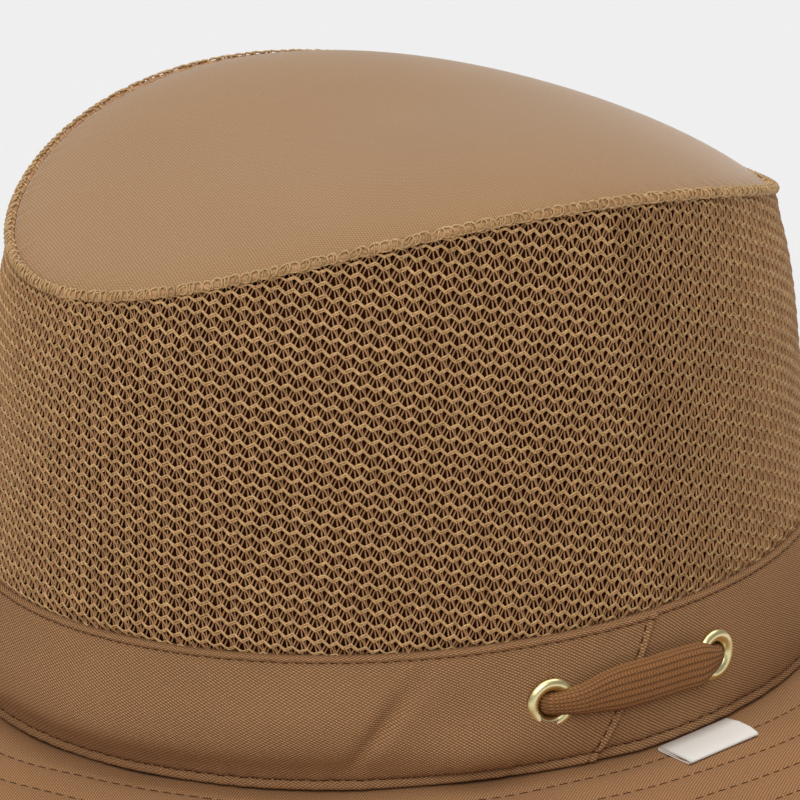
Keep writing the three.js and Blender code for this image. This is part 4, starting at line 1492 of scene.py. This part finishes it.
def make_row_yarns():
    sets = {True: [], False: []}
    for strand in ROW_STRANDS:
        across = (cells_across[:, None] + column_of(strand, "across")[None]).ravel()[None]
        wobble = random.uniform(-ROW_WOBBLE, ROW_WOBBLE, (len(rows_up), across.shape[1]))
        up = rows_up[:, None] + np.tile(column_of(strand, "up"), len(cells_across))[None] + wobble
        depth = np.tile(column_of(strand, "depth"), len(cells_across))[None] + 0 * up
        points, normals, inside, turn = strand_points(across + 0 * up, up, depth)
        rows, columns = up.shape
        valid = inside[:, :-1] & inside[:, 1:]
        front = is_front(turn[:, :-1])
        for side, sides in YARN_SIDES.items():
            rings = tube_rings(points, normals, np.full(up.shape, ROW_RADIUS), sides)
            index = np.arange(rows * columns * sides).reshape(rows, columns, sides)
            following = np.roll(index, -1, axis=2)
            quads = np.stack([index[:, :-1], following[:, :-1], following[:, 1:], index[:, 1:]], -1)
            chosen = quads[valid & (front == side)].reshape(-1, 4)
            sets[side].append(keep_used(rings.reshape(-1, 3), chosen))
    for side, label in SIDE_LABELS.items():
        points, face_sets = joined(sets[side])
        piece = make_piece("knit_rows_" + label, points, face_sets, ROW_YARN)
        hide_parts("crown_mesh")


def make_ties():
    sets = {True: [], False: []}
    cell_across, cell_up = np.meshgrid(cells_across, rows_up)
    cell_across = cell_across.ravel()[:, None]
    cell_up = cell_up.ravel()[:, None]
    for tie in TIES:
        wobble = random.uniform(-TIE_WOBBLE, TIE_WOBBLE, (len(cell_up), 1))
        across = cell_across + column_of(tie["path"], "across")[None] + wobble
        up = cell_up + column_of(tie["path"], "up")[None] + wobble[::-1]
        depth = column_of(tie["path"], "depth")[None] + 0 * up
        points, normals, inside, turn = strand_points(across, up, depth)
        whole = inside.all(1)
        front = is_front(turn[:, 0])
        rings = tube_rings(points, normals, np.full(up.shape, tie["radius"]), TIE_SIDES)
        for side in SIDE_LABELS:
            if side or tie["name"] != FRONT_TIE:
                chosen = rings[whole & (front == side)]
                faces = tube_faces(rings.shape[1], TIE_SIDES, len(chosen))
                sets[side].append((chosen.reshape(-1, 3), faces))
    for side, label in SIDE_LABELS.items():
        points, face_sets = joined(sets[side])
        piece = make_piece("knit_ties_" + label, points, face_sets, TIE_YARN)
        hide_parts("crown_mesh")


def make_knit_painted_shade():
    """A dark sheet behind the open yarns: its near-black colour is painted shade, for the hat's shadowed
    inside seen through the knit's openings.
    """
    turn = (np.arange(360) * 1.0)[:, None]
    levels = np.concatenate([[-0.045], np.linspace(0, 1.0, 18)])[None] + 0 * turn
    turns = turn + 0 * levels
    normals = surface_normals(knit_surface, turns, levels)
    face = knit_surface(turns, levels)
    outer = face - normals * SHADE_SHEET_FACE
    inner = (face - normals * SHADE_SHEET_BACK)[:, ::-1]
    section = np.concatenate([outer, inner], 1)
    faces = grid_faces(section.shape[0], section.shape[1], True, True)
    piece = make_piece("knit_painted_shade", section.reshape(-1, 3), [faces], KNIT_PAINTED_SHADE)
    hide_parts("crown_mesh")


def make_back_seam():
    """The knit's two ends are overcast together at the back with slanting stitches of yarn."""
    reach = float(np.interp(BACK_TURN, SLANT_TURNS, SLANT_HEIGHTS))
    count = int(reach / BACK_STITCH_PITCH)
    levels = (np.arange(count) + 0.5) / count
    shares = np.linspace(-1, 1, BACK_STITCH_STEPS)
    stitch_reach = BACK_STITCH_REACH + random.uniform(-0.15, 0.15, (count, 1))
    arcs = GRAIN_ARC + HALF_ROUND + shares[None] * stitch_reach
    turns = np.interp(arcs, ARC_LENGTHS, ARC_TURNS)
    stitch_levels = np.clip(levels[:, None] + shares[None] * 0.6 / reach, 0, 1)
    normals = surface_normals(knit_surface, turns, stitch_levels)
    lift = 0.32 - 0.5 * shares**4
    paths = knit_surface(turns, stitch_levels) + normals * lift[None, :, None]
    rings = tube_rings(paths, normals, np.full(turns.shape, BACK_STITCH_RADIUS), BACK_STITCH_SIDES)
    faces = tube_faces(BACK_STITCH_STEPS, BACK_STITCH_SIDES, count)
    piece = make_piece("knit_back_seam", rings.reshape(-1, 3), faces, SEAM_YARN)
    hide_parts("crown_mesh")


BACK_TURN = float(np.interp(GRAIN_ARC + HALF_ROUND, ARC_LENGTHS, ARC_TURNS))
make_row_yarns()
make_ties()
make_knit_painted_shade()
make_back_seam()


# Side label: a strip of tape folded once, with its raw ends sewn in under the band's edge

LABEL_TAPE = plain_finish("label_tape", (0.90, 0.86, 0.79, 1), 0.75, relief=0.02, scale=4.0)
LABEL_LAYERS = table("out up", [
    (0.0, 0.45), (0.35, 0.42), (0.7, 0.42), (0.95, 0.45), (1.0, 0.63), (0.96, 0.83), (0.7, 0.87),
    (0.35, 0.87), (0.0, 0.88),
])
LABEL_HALF_THICKNESS = 0.2
LABEL_BOW = 0.5
LABEL_CURL = 0.4


def make_label():
    outs = LABEL_START + LABEL_DEPTH * column_of(LABEL_LAYERS, "out")
    line = np.stack([outs, column_of(LABEL_LAYERS, "up")], -1)
    tangents = unit(np.gradient(line, axis=0))
    side = np.stack([tangents[:, 1], -tangents[:, 0]], -1)
    outline = np.concatenate([line + side * LABEL_HALF_THICKNESS, (line - side * LABEL_HALF_THICKNESS)[::-1]])
    out_share = np.clip((outline[:, :1] - LABEL_START) / LABEL_DEPTH, 0, 1)
    base = brim_top(LABEL_TURN, 0.0)
    straight_out = unit(brim_top(LABEL_TURN, 9.0) - base)
    straight_along = unit(np.cross(straight_out, [0.0, 0.0, 1.0]))
    up = np.cross(straight_along, straight_out)
    twist = math.radians(LABEL_TWIST)
    out = straight_out * math.cos(twist) - straight_along * math.sin(twist)
    along = straight_along * math.cos(twist) + straight_out * math.sin(twist)
    widths = np.linspace(-0.5, 0.5, 25)
    points = []
    for width in widths:
        back_end = (0.5 - width) ** 5
        bow = LABEL_BOW * np.sin(math.pi * out_share) * back_end
        curl = LABEL_CURL * back_end * np.sin(math.pi * out_share)
        ring = base + out * outline[:, :1] + up * (outline[:, 1:] + curl)
        points.append(ring + along * (width * LABEL_WIDTH - bow))
    walls = grid_faces(len(widths), len(outline), False, True)
    ends = [face[:, ::-1] for face in end_faces(len(widths), len(outline))]
    piece = make_piece("label", np.concatenate(points), [walls] + ends, LABEL_TAPE)
    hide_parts("side_label")


make_label()


# Studio, in metres

FLOOR_HALF = 12.0
FLOOR_DROP = 0.00005
WORLD_STRENGTH = 0.28


def make_floor():
    data = bpy.data.meshes.new("floor")
    corners = [(side * FLOOR_HALF, end * FLOOR_HALF, 0) for side, end in ((-1, -1), (1, -1), (1, 1), (-1, 1))]
    data.from_pydata(corners, [], [(0, 1, 2, 3)])
    floor = add_object("floor", data)
    floor.location.z = -FLOOR_DROP
    finish, _, shader = new_finish("floor_paint", 0.95, specular=0.0)
    shader["Base Color"].default_value = (0.8, 0.8, 0.8, 1)
    data.materials.append(finish)


def make_sun(name, turn, rise, strength, softness):
    data = bpy.data.lights.new(name, "SUN")
    data.energy = strength
    data.angle = math.radians(softness)
    sun = add_object(name, data)
    angle = math.radians(turn)
    tilt = math.radians(rise)
    towards = Vector((math.cos(angle) * math.cos(tilt), math.sin(angle) * math.cos(tilt), math.sin(tilt)))
    sun.rotation_euler = towards.to_track_quat("Z", "Y").to_euler()


def make_world():
    world = bpy.data.worlds.new("studio")
    bpy.context.scene.world = world
    world.use_nodes = True
    background = world.node_tree.nodes["Background"]
    background.inputs["Color"].default_value = (1, 1, 1, 1)
    background.inputs["Strength"].default_value = WORLD_STRENGTH


make_floor()
make_world()
make_sun("overhead", 132.0, 72.0, 1.55, 70.0)
make_sun("left_softbox", -90.0, 45.0, 0.3, 40.0)
make_sun("front_softbox", -40.0, 44.0, 1.2, 45.0)
bpy.context.scene.view_settings.view_transform = "Standard"
